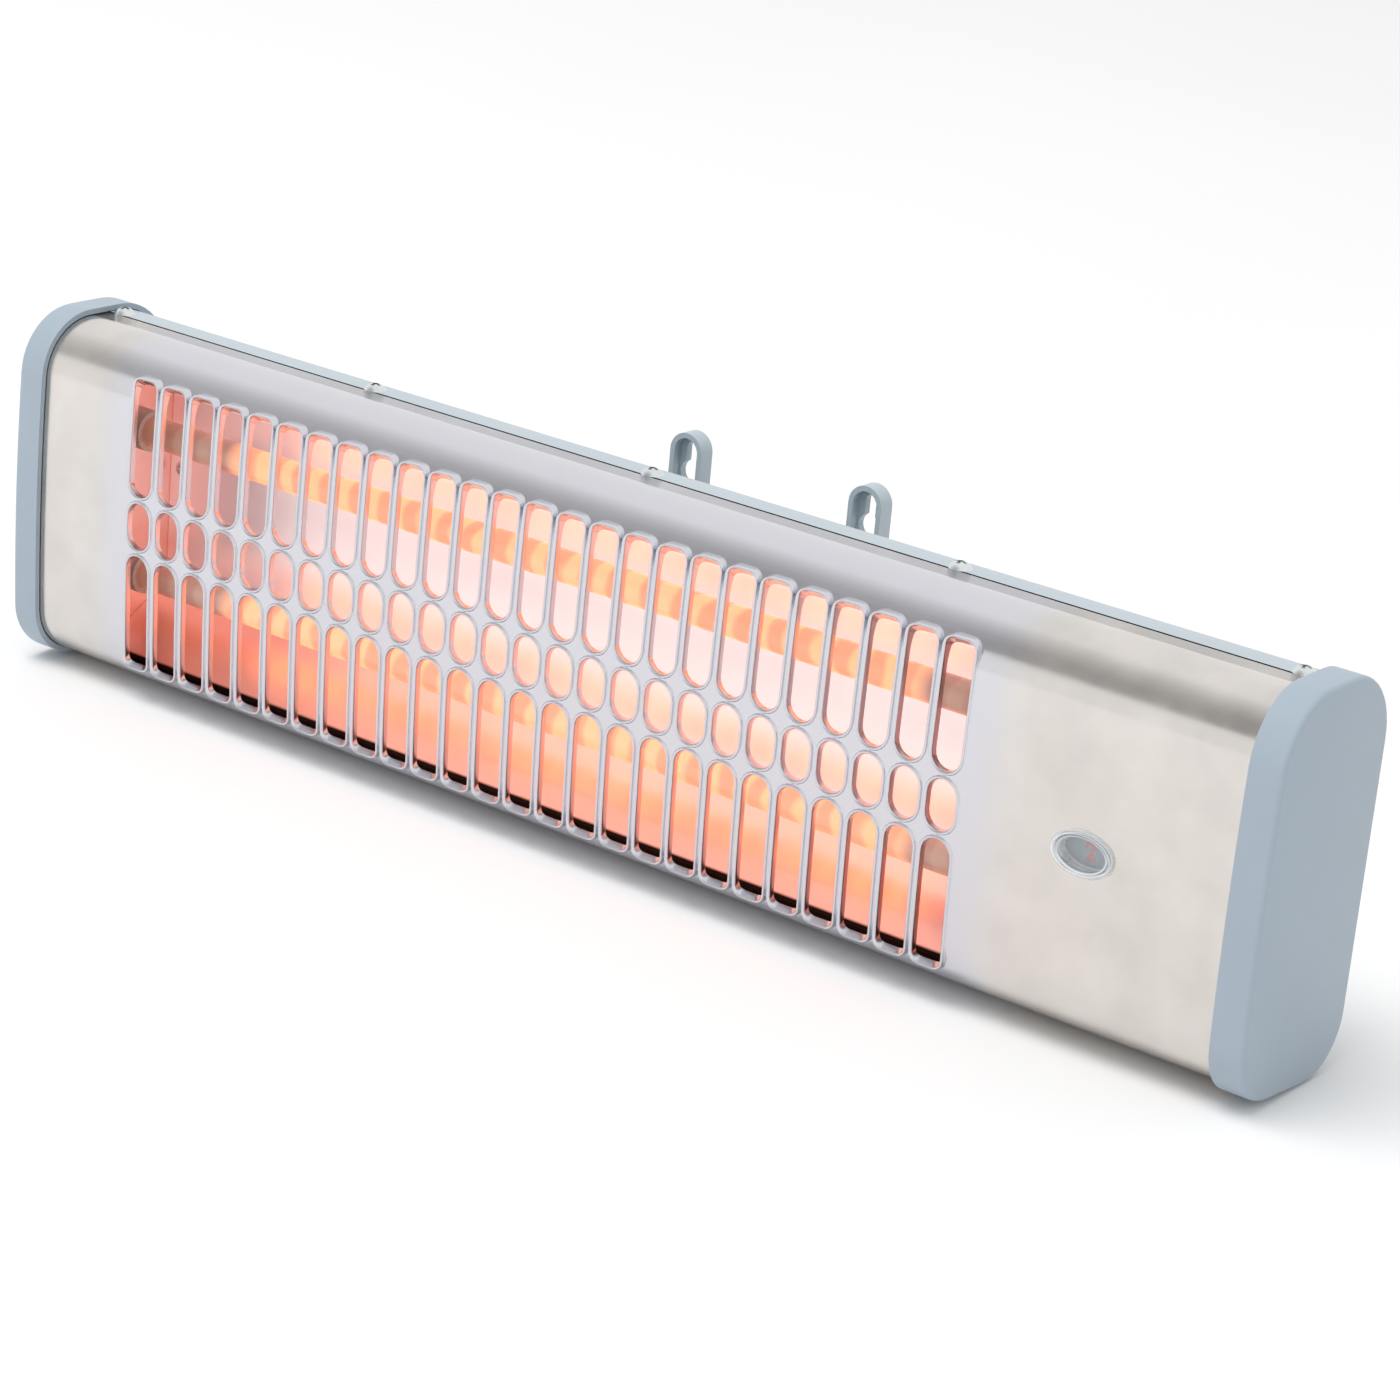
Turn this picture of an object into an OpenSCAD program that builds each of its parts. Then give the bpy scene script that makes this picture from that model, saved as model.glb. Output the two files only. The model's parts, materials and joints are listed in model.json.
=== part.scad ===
/* [Body] */
// Overall length over the two end caps
heater_length = 558; // [460:1:640]
// Depth of the body from its front edges to the back of the housing
body_depth = 61; // [60:0.5:72]
// Height of the body's top above the middle of the grille
top_height = 67.5; // [66:0.5:76]
// Depth of the front bottom edge below the middle of the grille
bottom_height = 65; // [64:0.5:74]
// How much lower the bottom lies at the back than at the front
bottom_drop = 5; // [0:0.5:8]
// Bulge of the front face at its middle
front_bow = 2; // [1:0.25:4]
// Radius of the bend at the front top
front_top_r = 22; // [18:0.5:25]
// Radius of the bend at the front bottom
front_bottom_r = 20; // [14:0.5:24]
// Radius of the bend at the back top
back_top_r = 24; // [16:0.5:25]
// Radius of the bend at the back bottom
back_bottom_r = 18; // [12:0.5:22]
// Thickness of the stainless front panel
panel_t = 0.6; // [0.4:0.1:1]
// Thickness of the painted housing sheet
housing_t = 1; // [0.7:0.1:1.5]
// Depth at which the front panel ends and the housing begins
seam_y = 30.5; // [30:0.5:36]
// Width of the open seam between panel and housing
seam_gap = 1.2; // [0.6:0.1:2]
// How far the panel's tongue reaches under the housing
tongue_reach = 10; // [9:0.5:14]

/* [Grille] */
// Distance from one slot to the next
slot_pitch = 14.8; // [14:0.1:15]
// Least margin between the slot columns and the side plates
grille_margin = 22; // [20:1:30]
// Clear width of a slot
slot_width = 11.2; // [9:0.1:11.5]
// Height of a slot in the upper and lower rows
long_slot_height = 44.8; // [36:0.2:46]
// Height of a slot in the middle row
short_slot_height = 17.8; // [14:0.2:20]
// Height of the bar left between two rows
row_bar = 3.1; // [2.5:0.1:5]
// Corner radius at the outer ends of the long slots
slot_corner_r = 3; // [2:0.1:4.5]
// Width of the pressed lip round a slot
lip_t = 0.9; // [0.6:0.1:1.2]
// How far a lip stands out of the panel
lip_proud = 0.8; // [0.4:0.1:1.5]
// How far a lip turns inwards
lip_depth = 4.6; // [4.4:0.1:5]
// Distance of the left side plate from the heater's left end
left_room = 35.6; // [34:0.2:40]
// Distance of the right side plate from the heater's right end
switch_room = 92.4; // [90:0.2:96]

/* [Quartz tubes] */
// Outside diameter of a quartz tube
tube_d = 12; // [10:0.2:13]
// Wall of a quartz tube
tube_wall = 1.2; // [0.8:0.1:1.4]
// Depth of the tubes behind the body's front edges
tube_y = 25; // [23:0.5:28]
// Distance between the two tubes
tube_spacing = 57.5; // [54:0.5:60]
// How far the tubes' middle lies below the grille's middle
tube_drop = 0.75; // [0:0.25:2]
// Unheated length at each end of a tube
cold_end = 48; // [44:1:60]
// Outside diameter of the heating coil
coil_d = 8.4; // [7:0.2:9]
// Diameter of the resistance wire
coil_wire = 0.9; // [0.6:0.1:1]
// Distance between the turns of a heating coil
coil_pitch = 9.6; // [8:0.1:14]
// Diameter of a ceramic end piece
ceramic_d = 16; // [15:0.2:18]
// Length of a ceramic end piece
ceramic_length = 18; // [16:0.5:22]
// How far a tube enters its ceramic end piece
ceramic_socket = 6; // [4:0.5:6]
// Width of the groove that seats a ceramic end piece in its plate
ceramic_groove = 1.4; // [1.3:0.1:2]
// Depth of that groove
groove_depth = 1; // [0.6:0.1:1.4]
// Diameter of the cold lead inside a tube
cold_lead_d = 2.4; // [2:0.1:3]
// Diameter of a terminal stud
stud_d = 4; // [3:0.1:5]
// How far a terminal stud stands out of its ceramic
stud_reach = 10; // [8:0.5:11]

/* [Reflector and side plates] */
// Thickness of the reflector sheet
reflector_t = 0.5; // [0.4:0.1:0.8]
// Room between the reflector's flat back and the housing
rear_room = 16; // [15:0.5:20]
// Half height of the reflector's flat back
reflector_back = 38; // [30:1:42]
// Depth of the reflector's front edges
reflector_mouth_y = 10; // [8:0.5:12]
// Half height of the reflector's mouth
reflector_mouth = 58.5; // [56:0.5:60]
// Height of the turned hem along the mouth
reflector_hem = 2.5; // [1.5:0.1:3]
// Thickness of the side plates
plate_t = 1; // [0.8:0.1:1.1]
// Depth of the side plates' front edges
plate_front_y = 13; // [12:0.5:15]
// Half height of a side plate
plate_half_h = 52; // [46:1:54]
// Width of a side plate's foot on the housing
foot_w = 12; // [10:0.5:14]
// Half height of the foot
foot_half_h = 38; // [34:1:40]
// Width of the tabs that carry the reflector
tab_w = 12; // [10:0.5:14]
// Half height of these tabs
tab_half_h = 15; // [12:0.5:18]

/* [End caps] */
// Wall of an end cap
cap_t = 2.1; // [1.6:0.1:2.6]
// Clearance between cap and body
cap_clear = 0.3; // [0.2:0.05:0.5]
// Width of a cap's rim along the heater
cap_w = 12.6; // [10:0.2:16]
// Bevel round a cap's outer face
cap_bevel = 1.8; // [1:0.1:2]

/* [Window and dial] */
// Distance of the window from the heater's right end
window_inset = 67.4; // [66:0.2:72]
// Half length of the window's clear opening
window_a = 10.6; // [9:0.1:12]
// Half height of the window's clear opening
window_b = 6.6; // [6:0.1:7]
// End radius of the window's oval
window_end_r = 4.6; // [4:0.1:5]
// Width of the window's rim on the panel
window_rim = 1.5; // [1:0.1:2.5]
// How far the window stands out of the panel
window_proud = 1.4; // [1:0.1:2]
// How far the window reaches in behind the front edges
window_depth = 2.4; // [2:0.1:3]
// Wall of the window's clips
window_wall = 1.2; // [1:0.1:1.5]
// Thickness of the ring that holds the window from behind
retainer_t = 1.2; // [0.8:0.1:1.5]
// Radius of the number dial
dial_r = 18; // [16:0.5:19]
// Thickness of the number dial
dial_t = 2; // [1.5:0.1:2.5]
// Depth of the dial's face behind the front edges
dial_y = 4.4; // [4.2:0.1:5]
// How far the dial's axis lies below the window's middle
dial_drop = 9; // [8:0.5:10]
// Diameter of the dial's spindle
spindle_d = 5; // [4:0.1:6]
// How far the spindle enters the switch body
spindle_seat = 13; // [8:0.5:14]

/* [Pull switch] */
// Length of the switch body to the right of the dial's axis
switch_reach = 18; // [17:0.5:20]
// Height of the switch body
switch_h = 22; // [20:0.5:22]
// Depth of the switch body's front
switch_y = 16; // [15.5:0.5:17]
// Depth of the switch body
switch_d = 22; // [20:0.5:24]
// Thickness of the pull lever
lever_t = 2.5; // [2:0.1:3]
// Length of the lever from its axis to the cord eye
lever_l = 22; // [20:0.5:26]
// Radius of the lever's eye end
lever_end_r = 4.5; // [4:0.1:5]
// Radius of the cord eye
lever_eye_r = 1.8; // [1.5:0.1:2.2]
// Radius of the lever's hub
lever_hub_r = 7; // [6:0.1:8]
// Wall of the boss that carries the return spring
boss_wall = 1.2; // [1:0.1:1.5]
// Turns of the lever's return spring
spring_turns = 4; // [3:1:4]
// Diameter of the spring wire
spring_wire = 0.6; // [0.5:0.05:0.6]
// Thickness of the switch bracket's steel
switch_bracket_t = 1.5; // [1:0.1:2]
// Height of the switch bracket
switch_bracket_h = 14; // [13:0.5:16]

/* [Wall bracket and tilt] */
// Gap between the housing's back and the wall
wall_gap = 54; // [50:1:70]
// Distance between the two keyholes
keyhole_spacing = 82; // [78:1:90]
// Radius of a keyhole's round part
keyhole_r = 4.5; // [4:0.1:5]
// Width of a keyhole's slot
keyhole_slot_w = 4.6; // [4:0.1:5.5]
// How far the slot rises above the round part's middle
keyhole_rise = 9.5; // [8:0.5:12]
// Height of the keyholes above the middle of the grille
keyhole_height = 44; // [40:1:50]
// Outside width of an ear
ear_w = 14.5; // [13.5:0.1:18]
// Wall of an ear's rim
ear_wall = 2; // [1.5:0.1:2.2]
// Depth of an ear's rim from the wall
ear_depth = 7; // [6:0.5:9]
// Thickness of the wall bracket's plate
bracket_t = 3; // [2.5:0.1:4]
// Height of the wall bracket's plate
bracket_h = 70; // [62:1:80]
// Thickness of the wall bracket's arms
arm_t = 3; // [2.5:0.1:4]
// Distance of the tilt axis from the wall
pivot_gap = 27; // [25:0.5:30]
// Radius of an arm's round end
arm_end_r = 11; // [9:0.5:12]
// Thickness of the tilt bracket's steel
tilt_t = 2; // [1.5:0.1:2.5]
// Half height of the tilt bracket's base
tilt_base_half_h = 20; // [16:0.5:24]
// Radius of a tilt bracket cheek's round end
tilt_end_r = 9; // [8:0.5:10]
// Diameter of the pivot screws
pivot_d = 5; // [4:0.1:6]
// Thickness of a friction washer
washer_t = 0.8; // [0.6:0.1:1.2]

/* [Leads and terminals] */
// Diameter of the lead wires
lead_d = 2.6; // [2:0.1:3]
// Distance of the leads behind the reflector from the housing
lane_gap = 7; // [6:0.5:8]
// Reach of a ring terminal from the middle of its stud
tag_reach = 11; // [10.5:0.5:12]
// Thickness of a ring terminal
tag_t = 0.8; // [0.6:0.1:1]
// Wall of a ring terminal's sleeve round its lead
sleeve_wall = 0.5; // [0.3:0.1:0.8]
// Length of a sleeve
sleeve_l = 6; // [5:0.5:6]
// Distance of the thermal cut-out from the right side plate
cutout_inset = 36.6; // [33:0.2:66]
// Radius of the cut-out's flange
cutout_flange_r = 9; // [8.5:0.5:10]
// Radius of the cut-out's cap
cutout_r = 7; // [6:0.5:7.5]
// Height of the cut-out with its cap
cutout_h = 10; // [9:0.5:12]
// Height of the cut-out's flange
cutout_flange_h = 4; // [3.5:0.5:4.5]
// Thickness of the cut-out's clamp
clamp_t = 1; // [0.8:0.1:1.2]
// Length of the terminal block along the heater
block_l = 30; // [26:1:32]
// Height of the terminal block
block_h = 30; // [26:1:32]
// Depth of the terminal block
block_d = 16; // [14:0.5:18]
// Distance of the terminal block's middle from the heater's right end
block_inset = 29; // [27:1:31]
// Distance of the earth stud from the heater's right end
earth_inset = 54; // [52:1:56]

/* [Screws and small parts] */
// Diameter of the housing screws
screw_d = 4; // [3.5:0.1:4.2]
// Head diameter of the housing screws
screw_head_d = 8.4; // [7.5:0.1:9]
// Head height of the housing screws
screw_head_h = 2.4; // [2:0.1:3]
// Length of the housing screws under the head
screw_l = 9; // [7:0.5:10]
// Distance from the seam back to the housing screws
screw_back = 4; // [3.8:0.1:4.6]
// Distance of the outermost housing screws from the heater's ends
screw_inset = 17.5; // [17:0.5:22]
// Housing screws in a row
screw_count = 5; // [3:1:6]
// Diameter of the small inner screws
small_d = 3; // [2.5:0.1:3.2]
// Head diameter of the small inner screws
small_head_d = 6; // [5:0.1:6.5]
// Head height of the small inner screws
small_head_h = 1.9; // [1.5:0.1:2.2]
// Length of the small inner screws under the head
small_l = 6; // [5:0.5:7]
// Radius of the pull cord's bush bore
cord_bore_r = 1.75; // [1.5:0.05:2]
// Radius of the supply cord's bush bore
supply_bore_r = 4; // [3.5:0.1:4.5]
// Wall of a cord bush
bush_wall = 1.6; // [1.2:0.1:2]
// Thickness and overhang of a cord bush's lips
bush_lip = 1.2; // [1:0.1:1.5]
// Free room left between parts that only sit near each other
gap = 0.3; // [0.2:0.05:0.35]
// Radial room round a shank that passes through a hole
fit = 0.05; // [0.03:0.01:0.08]

/* [Hidden] */

// Overrun of every cut past the face that it opens
over = 1;
// Steps of a bend and of the bowed front
bend_steps = 16;
bow_steps = 8;
// Facets of round shapes
round_fn = 48;
small_fn = 24;

// Colours
cap_colour = "#9FB2C1";
paint_colour = "#C5CFD6";
steel_colour = "#DAD8D6";
zinc_colour = "#C9CBCE";
ceramic_colour = "#E9E4D8";
black_colour = "#26272A";
lead_colour = "#B9B7AE";
dial_colour = "#8FA3B5";
glow_colour = "#FF6A1E";

// Places of the whole heater: wall at y 0, keyholes at z 0, body in front of the wall
stand_off = body_depth + wall_gap;
half_length = heater_length / 2;
grille_x = (left_room - switch_room) / 2;
plate_x = half_length - (left_room + switch_room) / 2;
body_half = half_length - cap_t - cap_clear;
inner_back_y = body_depth - housing_t;
reflector_y = inner_back_y - rear_room;
lead_y = inner_back_y - lane_gap;

// The body's outline: top line level, bottom line falling to the back, bowed front
mid_z = (top_height - bottom_height) / 2;
half_h = (top_height + bottom_height) / 2;
bow_r = (half_h * half_h + front_bow * front_bow) / (2 * front_bow);
bow_c = [bow_r - front_bow, mid_z];
top_edge = [0, top_height];
bottom_edge = [0, -bottom_height];
bottom_run = norm([body_depth, bottom_drop]);
top_u = [1, 0];
top_n = [0, 1];
bottom_u = [body_depth / bottom_run, -bottom_drop / bottom_run];
bottom_n = [-bottom_drop / bottom_run, -body_depth / bottom_run];

function unit(v) = v / norm(v);
// Centre of a front bend: r inside an edge line and tangent inside to the bowed front
function front_centre(p, u, n, r) =
    let (q = p - r * n - bow_c, b = q * u, c = q * q - pow(bow_r - r, 2))
    p - r * n + (-b - sqrt(b * b - c)) * u;
// Centre of a back bend: r inside an edge line and r in front of the back
function back_centre(p, u, n, r) =
    let (q = p - r * n) q + u * ((body_depth - r - q[0]) / u[0]);
c_ft = front_centre(top_edge, top_u, top_n, front_top_r);
c_fb = front_centre(bottom_edge, bottom_u, bottom_n, front_bottom_r);
c_bt = back_centre(top_edge, top_u, top_n, back_top_r);
c_bb = back_centre(bottom_edge, bottom_u, bottom_n, back_bottom_r);
ft_dir = unit(c_ft - bow_c);
fb_dir = unit(c_fb - bow_c);
back_n = [1, 0];

// Depth of the bowed front at a height, and of the sloping bottom at a depth
function front_y(z) = bow_c[0] - sqrt(bow_r * bow_r - pow(z - bow_c[1], 2));
function bottom_z(y) = -bottom_height - bottom_drop * y / body_depth;

// Rows of slots
short_half = short_slot_height / 2;
long_start = short_half + row_bar;
long_end = long_start + long_slot_height;
slot_r = slot_width / 2;
slot_columns = floor(2 * (plate_x - grille_margin) / slot_pitch);
half_columns = (slot_columns - 1) / 2;

// Tubes and what carries them
tube_r = tube_d / 2;
upper_z = tube_spacing / 2 - tube_drop;
lower_z = -tube_spacing / 2 - tube_drop;
tube_half = plate_x - ceramic_length / 2 + ceramic_socket;
tube_length = 2 * tube_half;
ceramic_in = tube_half - ceramic_socket;
ceramic_out = ceramic_in + ceramic_length;
coil_half = tube_half - cold_end;
coil_length = 2 * coil_half;
coil_turns = round((coil_length - 2 * coil_wire) / coil_pitch);
coil_r = (coil_d - coil_wire) / 2;
groove_r = ceramic_d / 2 - groove_depth;
left_plate_x = grille_x - plate_x;
right_plate_x = grille_x + plate_x;
notch_neck = groove_r - groove_depth / 2;
stud_r = stud_d / 2;
collar_r = coil_d / 2;
collar_t = coil_wire * 2;

// Window, dial and switch share one axis height
window_x = half_length - window_inset;
dial_z = -dial_drop;
spindle_r = spindle_d / 2;
nose_r = spindle_r - boss_wall;
boss_r = spindle_r + boss_wall;
spring_r = boss_r + gap + spring_wire / 2;
spring_pitch = 2 * spring_wire;
spring_front = switch_y - 2 * spring_wire - spring_turns * spring_pitch;
lever_y = spring_front - gap - lever_t;
switch_left = right_plate_x + ceramic_length / 2 + gap;
switch_right = window_x + switch_reach;
switch_back = switch_y + switch_d;
retainer_reach = window_rim + retainer_t;
window_seat_y = front_y(-window_b - retainer_reach) + panel_t + fit;

// Screws of the seam
seam_screw_y = seam_y + screw_back;
screw_first_x = half_length - screw_inset;
screw_step = 2 * screw_first_x / (screw_count - 1);
screw_r = screw_d / 2;
small_r = small_d / 2;
small_hole_r = small_r + fit;
cap_screw_x = half_length - cap_w / 2;
cap_screw_z = foot_half_h - small_head_d;
cap_back_y = body_depth + cap_clear + cap_t;
foot_screw_z = foot_half_h / 2;
tab_screw_z = tab_half_h - small_head_d;
foot_screw_x = [
    left_plate_x - plate_t / 2 - foot_w / 2,
    right_plate_x + plate_t / 2 + foot_w / 2
];
tab_screw_x = [
    left_plate_x + plate_t / 2 + tab_w / 2,
    right_plate_x - plate_t / 2 - tab_w / 2
];

// Wall bracket and tilt joint
pivot = [-pivot_gap, -keyhole_height];
bracket_half = (keyhole_spacing + ear_w) / 2;
ear_r = ear_w / 2;
ear_arch_z = keyhole_rise + keyhole_slot_w / 2 + 2 * ear_wall - ear_r;
arm_in = bracket_half - arm_t;
cheek_out = arm_in - washer_t - 2 * fit;
cheek_in = cheek_out - tilt_t;
pivot_r = pivot_d / 2;
bracket_top = -keyhole_r - 2 * ear_wall;
bracket_bottom = bracket_top - bracket_h;
tilt_screw_x = cheek_in - 2 * small_head_d;
tilt_screw_z = tilt_base_half_h - small_head_d;
pivot_nut_t = pivot_d * 4 / 5;
pivot_head_h = pivot_d / 2;
cheek_y = stand_off - pivot_gap;

// Cord bushes: the pull cord's in the flat of the bottom, the supply cord's in the back
cord_shank_r = cord_bore_r + bush_wall;
cord_lip_r = cord_shank_r + bush_lip;
cord_x = window_x + lever_l;
cord_y = c_fb[0] + cord_lip_r + bush_lip;
supply_shank_r = supply_bore_r + bush_wall;
supply_lip_r = supply_shank_r + bush_lip;
supply_x = half_length - block_inset;
supply_z = c_bb[1] + supply_lip_r + bush_lip;

// Terminals behind the reflector
lead_r = lead_d / 2;
sleeve_r = lead_r + sleeve_wall;
lead_hole_r = lead_r + 2 * gap;
blade_z = cutout_r - sleeve_r;
cutout_x = right_plate_x - cutout_inset;
blade_end = cutout_x + cutout_flange_r + 1.5 * sleeve_l;
clamp_y = inner_back_y - cutout_flange_h - clamp_t;
clamp_half_w = cutout_r + 2 * clamp_t;
clamp_leg = cutout_flange_r + gap;
clamp_screw_z = clamp_leg + clamp_t + small_head_d / 2 + gap;
block_x = half_length - block_inset;
block_z0 = dial_z + switch_h / 2 + sleeve_l;
block_y = inner_back_y - block_d;
block_screw_x = block_l / 2 - small_head_d * 2 / 3;
earth_x = half_length - earth_inset;
bracket_left = switch_left + 2 * sleeve_l;
bracket_foot_x = switch_right + 2 * small_head_d;
switch_screw_x = [bracket_left + small_head_d, switch_right - small_head_d];
switch_screw_z = switch_bracket_h / 2 - small_head_d / 2;

// Routes of the leads, each square on what it joins at both ends
link_x = grille_x - ceramic_out - sleeve_r;
right_tag_x = grille_x + ceramic_out + sleeve_r;
tag_step = tag_t + fit;
return_x = link_x - tag_step;
switch_lead_x = switch_left + sleeve_l;
lower_end_x = window_x + lever_end_r;
lower_turn_z = lower_z - 2 * tag_reach;
block_in_x = block_x - block_l / 2;
block_low_x = [block_x - block_l / 4, block_x + block_l / 4];
block_mid_z = block_z0 + block_h / 2;
cutout_turn_x = block_in_x - 2 * sleeve_l;
earth_y = inner_back_y - sleeve_r;
earth_turn_z = supply_z + 2 * tag_reach;
link_route = [
    [link_x, tube_y, upper_z - tag_reach],
    [link_x, tube_y, lower_z + tag_reach]
];
upper_route = [
    [right_tag_x, tube_y, upper_z - tag_reach],
    [right_tag_x, tube_y, dial_z + switch_h / 2]
];
lower_route = [
    [right_tag_x, tube_y, lower_z - tag_reach],
    [right_tag_x, tube_y, lower_turn_z],
    [lower_end_x, tube_y, lower_turn_z],
    [lower_end_x, tube_y, dial_z - switch_h / 2]
];
return_route = [
    [return_x, tube_y + tag_reach, lower_z],
    [return_x, lead_y, lower_z],
    [block_low_x[0], lead_y, lower_z],
    [block_low_x[0], lead_y, block_z0]
];
cutout_route = [
    [blade_end, lead_y, blade_z],
    [cutout_turn_x, lead_y, blade_z],
    [cutout_turn_x, lead_y, block_mid_z],
    [block_in_x, lead_y, block_mid_z]
];
switch_route = [
    [blade_end, lead_y, -blade_z],
    [switch_lead_x, lead_y, -blade_z],
    [switch_lead_x, switch_back, -blade_z]
];
earth_route = [
    [earth_x, earth_y, supply_z + tag_reach],
    [earth_x, earth_y, earth_turn_z],
    [block_low_x[1], earth_y, earth_turn_z],
    [block_low_x[1], earth_y, block_z0]
];

// Helix along X round 0: starts and ends straight, one wire diameter long
curl_rings = 8;
wire_sides = 6;
lead_sides = 8;
function helix(l, r, wire, turns) = concat(
    [[0, r, 0]],
    [for (i = [0 : turns * curl_rings])
        let (a = 360 * i / curl_rings, x = wire + (l - 2 * wire) * i / (turns * curl_rings))
        [x, r * cos(a), r * sin(a)]],
    [[l, r, 0]]
);
// Least gap of a wound wire to itself, from the points of its next turns
function least_gap(path, wire) = min([
    for (i = [0 : len(path) - 1])
        for (j = [i + curl_rings / 2 : i + 2 * curl_rings])
            if (j < len(path)) norm(path[j] - path[i])
]) - wire;
coil_path = helix(coil_length, coil_r, coil_wire, coil_turns);
spring_path = helix(switch_y - spring_front, spring_r, spring_wire, spring_turns);
echo(coil_gap = least_gap(coil_path, coil_wire));
echo(spring_gap = least_gap(spring_path, spring_wire));

// Corners of the web between circles c1, r1 and c2, r2: its sides are all but tangent
function web(c1, r1, c2, r2) =
    let (d = c2 - c1, a = atan2(d[1], d[0]), b = acos((r1 - r2) / norm(d)))
    [for (q = [[c1, r1, b], [c2, r2, b], [c2, r2, -b], [c1, r1, -b]])
        q[0] + (q[1] - fit) * [cos(a + q[2]), sin(a + q[2])]];

// Point where a line from p all but touches the circle c, r, on the side given by s
function touch(p, c, r, s) =
    let (d = p - c, a = atan2(d[1], d[0]) + s * acos(r / norm(d)))
    c + (r - fit) * [cos(a), sin(a)];

// Route with each corner rounded over the distance r in four rings
function rounded(route, r) = concat(
    [route[0]],
    [for (i = [1 : 1 : len(route) - 2])
        for (t = [0, 1 / 3, 2 / 3, 1])
            let (p = route[i], u = unit(route[i - 1] - p), v = unit(route[i + 1] - p))
            p + r * pow(1 - t, 2) * u + r * t * t * v],
    [route[len(route) - 1]]
);

module at_heater() {
    translate([0, -stand_off, -keyhole_height])
        children();
}

// Extrudes a shape drawn in depth and height from x0 to x1
module along(x0, x1) {
    translate([x0, 0, 0])
        rotate([90, 0, 90])
            linear_extrude(x1 - x0)
                children();
}

// Extrudes a shape drawn in length and height from depth y0 to y1
module through(y0, y1) {
    translate([0, y1, 0])
        rotate([90, 0, 0])
            linear_extrude(y1 - y0)
                children();
}

// Points along a bend from direction n1 to n2
function arc_points(c, r, n1, n2, n = bend_steps) =
    let (a1 = atan2(n1[1], n1[0]), turn = atan2(n1[0] * n2[1] - n1[1] * n2[0], n1 * n2))
    [for (i = [0 : n]) c + r * [cos(a1 + turn * i / n), sin(a1 + turn * i / n)]];

// The whole outline, d inside the skin
function outline(d) = concat(
    arc_points(c_ft, front_top_r - d, ft_dir, top_n),
    arc_points(c_bt, back_top_r - d, top_n, back_n),
    arc_points(c_bb, back_bottom_r - d, back_n, bottom_n),
    arc_points(c_fb, front_bottom_r - d, bottom_n, fb_dir),
    arc_points(bow_c, bow_r - d, fb_dir, ft_dir, bow_steps)
);

// Sheet that follows the body's outline, from d0 to d1 inside it
module skin(d0, d1) {
    difference() {
        polygon(outline(d0));
        polygon(outline(d1));
    }
}

// Sheet that follows only the bow of the front, from d0 to d1 inside it
module bow_band(d0, d1) {
    up = unit([-bow_r, half_h]);
    down = unit([-bow_r, -half_h]);
    difference() {
        polygon(concat([bow_c], arc_points(bow_c, bow_r - d0, up, down, bow_steps)));
        polygon(concat([bow_c], arc_points(bow_c, bow_r - d1, up, down, bow_steps)));
    }
}

// The part of a shape between two depths
module depth_band(y0, y1) {
    intersection() {
        children();
        translate([y0, -top_height - bottom_height])
            square([y1 - y0, 2 * (top_height + bottom_height)]);
    }
}

// A pan-head cross-recess screw, head above z 0, shank below
module pan_screw(d, head_d, head_h, l) {
    dome_r = (head_d * head_d / 4 + head_h * head_h) / (2 * head_h);
    slot_w = head_d / 7;
    difference() {
        union() {
            intersection() {
                cylinder(h = head_h, d = head_d, $fn = round_fn);
                translate([0, 0, head_h - dome_r])
                    sphere(dome_r, $fn = 96);
            }
            translate([0, 0, -l])
                cylinder(h = l, d = d, $fn = small_fn);
        }
        for (a = [0, 90])
            rotate([0, 0, a])
                translate([-head_d / 4, -slot_w / 2, head_h / 2])
                    cube([head_d / 2, slot_w, head_h]);
    }
}

// A hexagon nut with its bore, resting on z 0
module hex_nut(d, t) {
    difference() {
        cylinder(h = t, r = d, $fn = 6);
        translate([0, 0, -over])
            cylinder(h = t + 2 * over, r = d / 2 + fit, $fn = small_fn);
    }
}

// One slot, grown by g: upper rows have their round end below, dir 1, or above, dir -1
module long_slot(g, dir) {
    z0 = long_start;
    scale_dir = dir > 0 ? [0, 0] : [0, 1];
    mirror(scale_dir) {
        translate([0, z0 + slot_r])
            circle(slot_r + g, $fn = round_fn);
        translate([-slot_r - g, z0 + slot_r])
            square([slot_width + 2 * g, long_slot_height - slot_r - slot_corner_r]);
        translate([-slot_r + slot_corner_r, z0 + slot_r])
            square([slot_width - 2 * slot_corner_r, long_slot_height - slot_r + g]);
        for (s = [-1, 1])
            translate([s * (slot_r - slot_corner_r), long_end - slot_corner_r])
                circle(slot_corner_r + g, $fn = small_fn);
    }
}

module short_slot(g) {
    straight = short_slot_height - slot_width;
    for (s = [-1, 1])
        translate([0, s * straight / 2])
            circle(slot_r + g, $fn = round_fn);
    translate([-slot_r - g, -straight / 2])
        square([slot_width + 2 * g, straight]);
}

module slot_column(g) {
    long_slot(g, 1);
    short_slot(g);
    long_slot(g, -1);
}

// An oval of four arcs, grown by g
module oval(g) {
    a = window_a;
    b = window_b;
    e = window_end_r;
    side_r = (pow(a - e, 2) + b * b - e * e) / (2 * (b - e));
    touch_x = (a - e) * side_r / (side_r - e);
    for (s = [-1, 1])
        translate([s * (a - e), 0])
            circle(e + g, $fn = round_fn);
    intersection() {
        translate([0, b - side_r])
            circle(side_r + g, $fn = 96);
        translate([0, side_r - b])
            circle(side_r + g, $fn = 96);
        square([2 * touch_x, 2 * (b + g) + over], center = true);
    }
}

// Places that the seam screws take along the heater
screw_places = [for (i = [0 : screw_count - 1]) -screw_first_x + i * screw_step];
bottom_tilt = atan2(bottom_drop, body_depth);

// Puts its children, drawn with their outside up, on the pull cord's place in the bottom
module at_cord_bush() {
    translate([cord_x, cord_y, bottom_z(cord_y)])
        rotate([180 - bottom_tilt, 0, 0])
            children();
}

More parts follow.
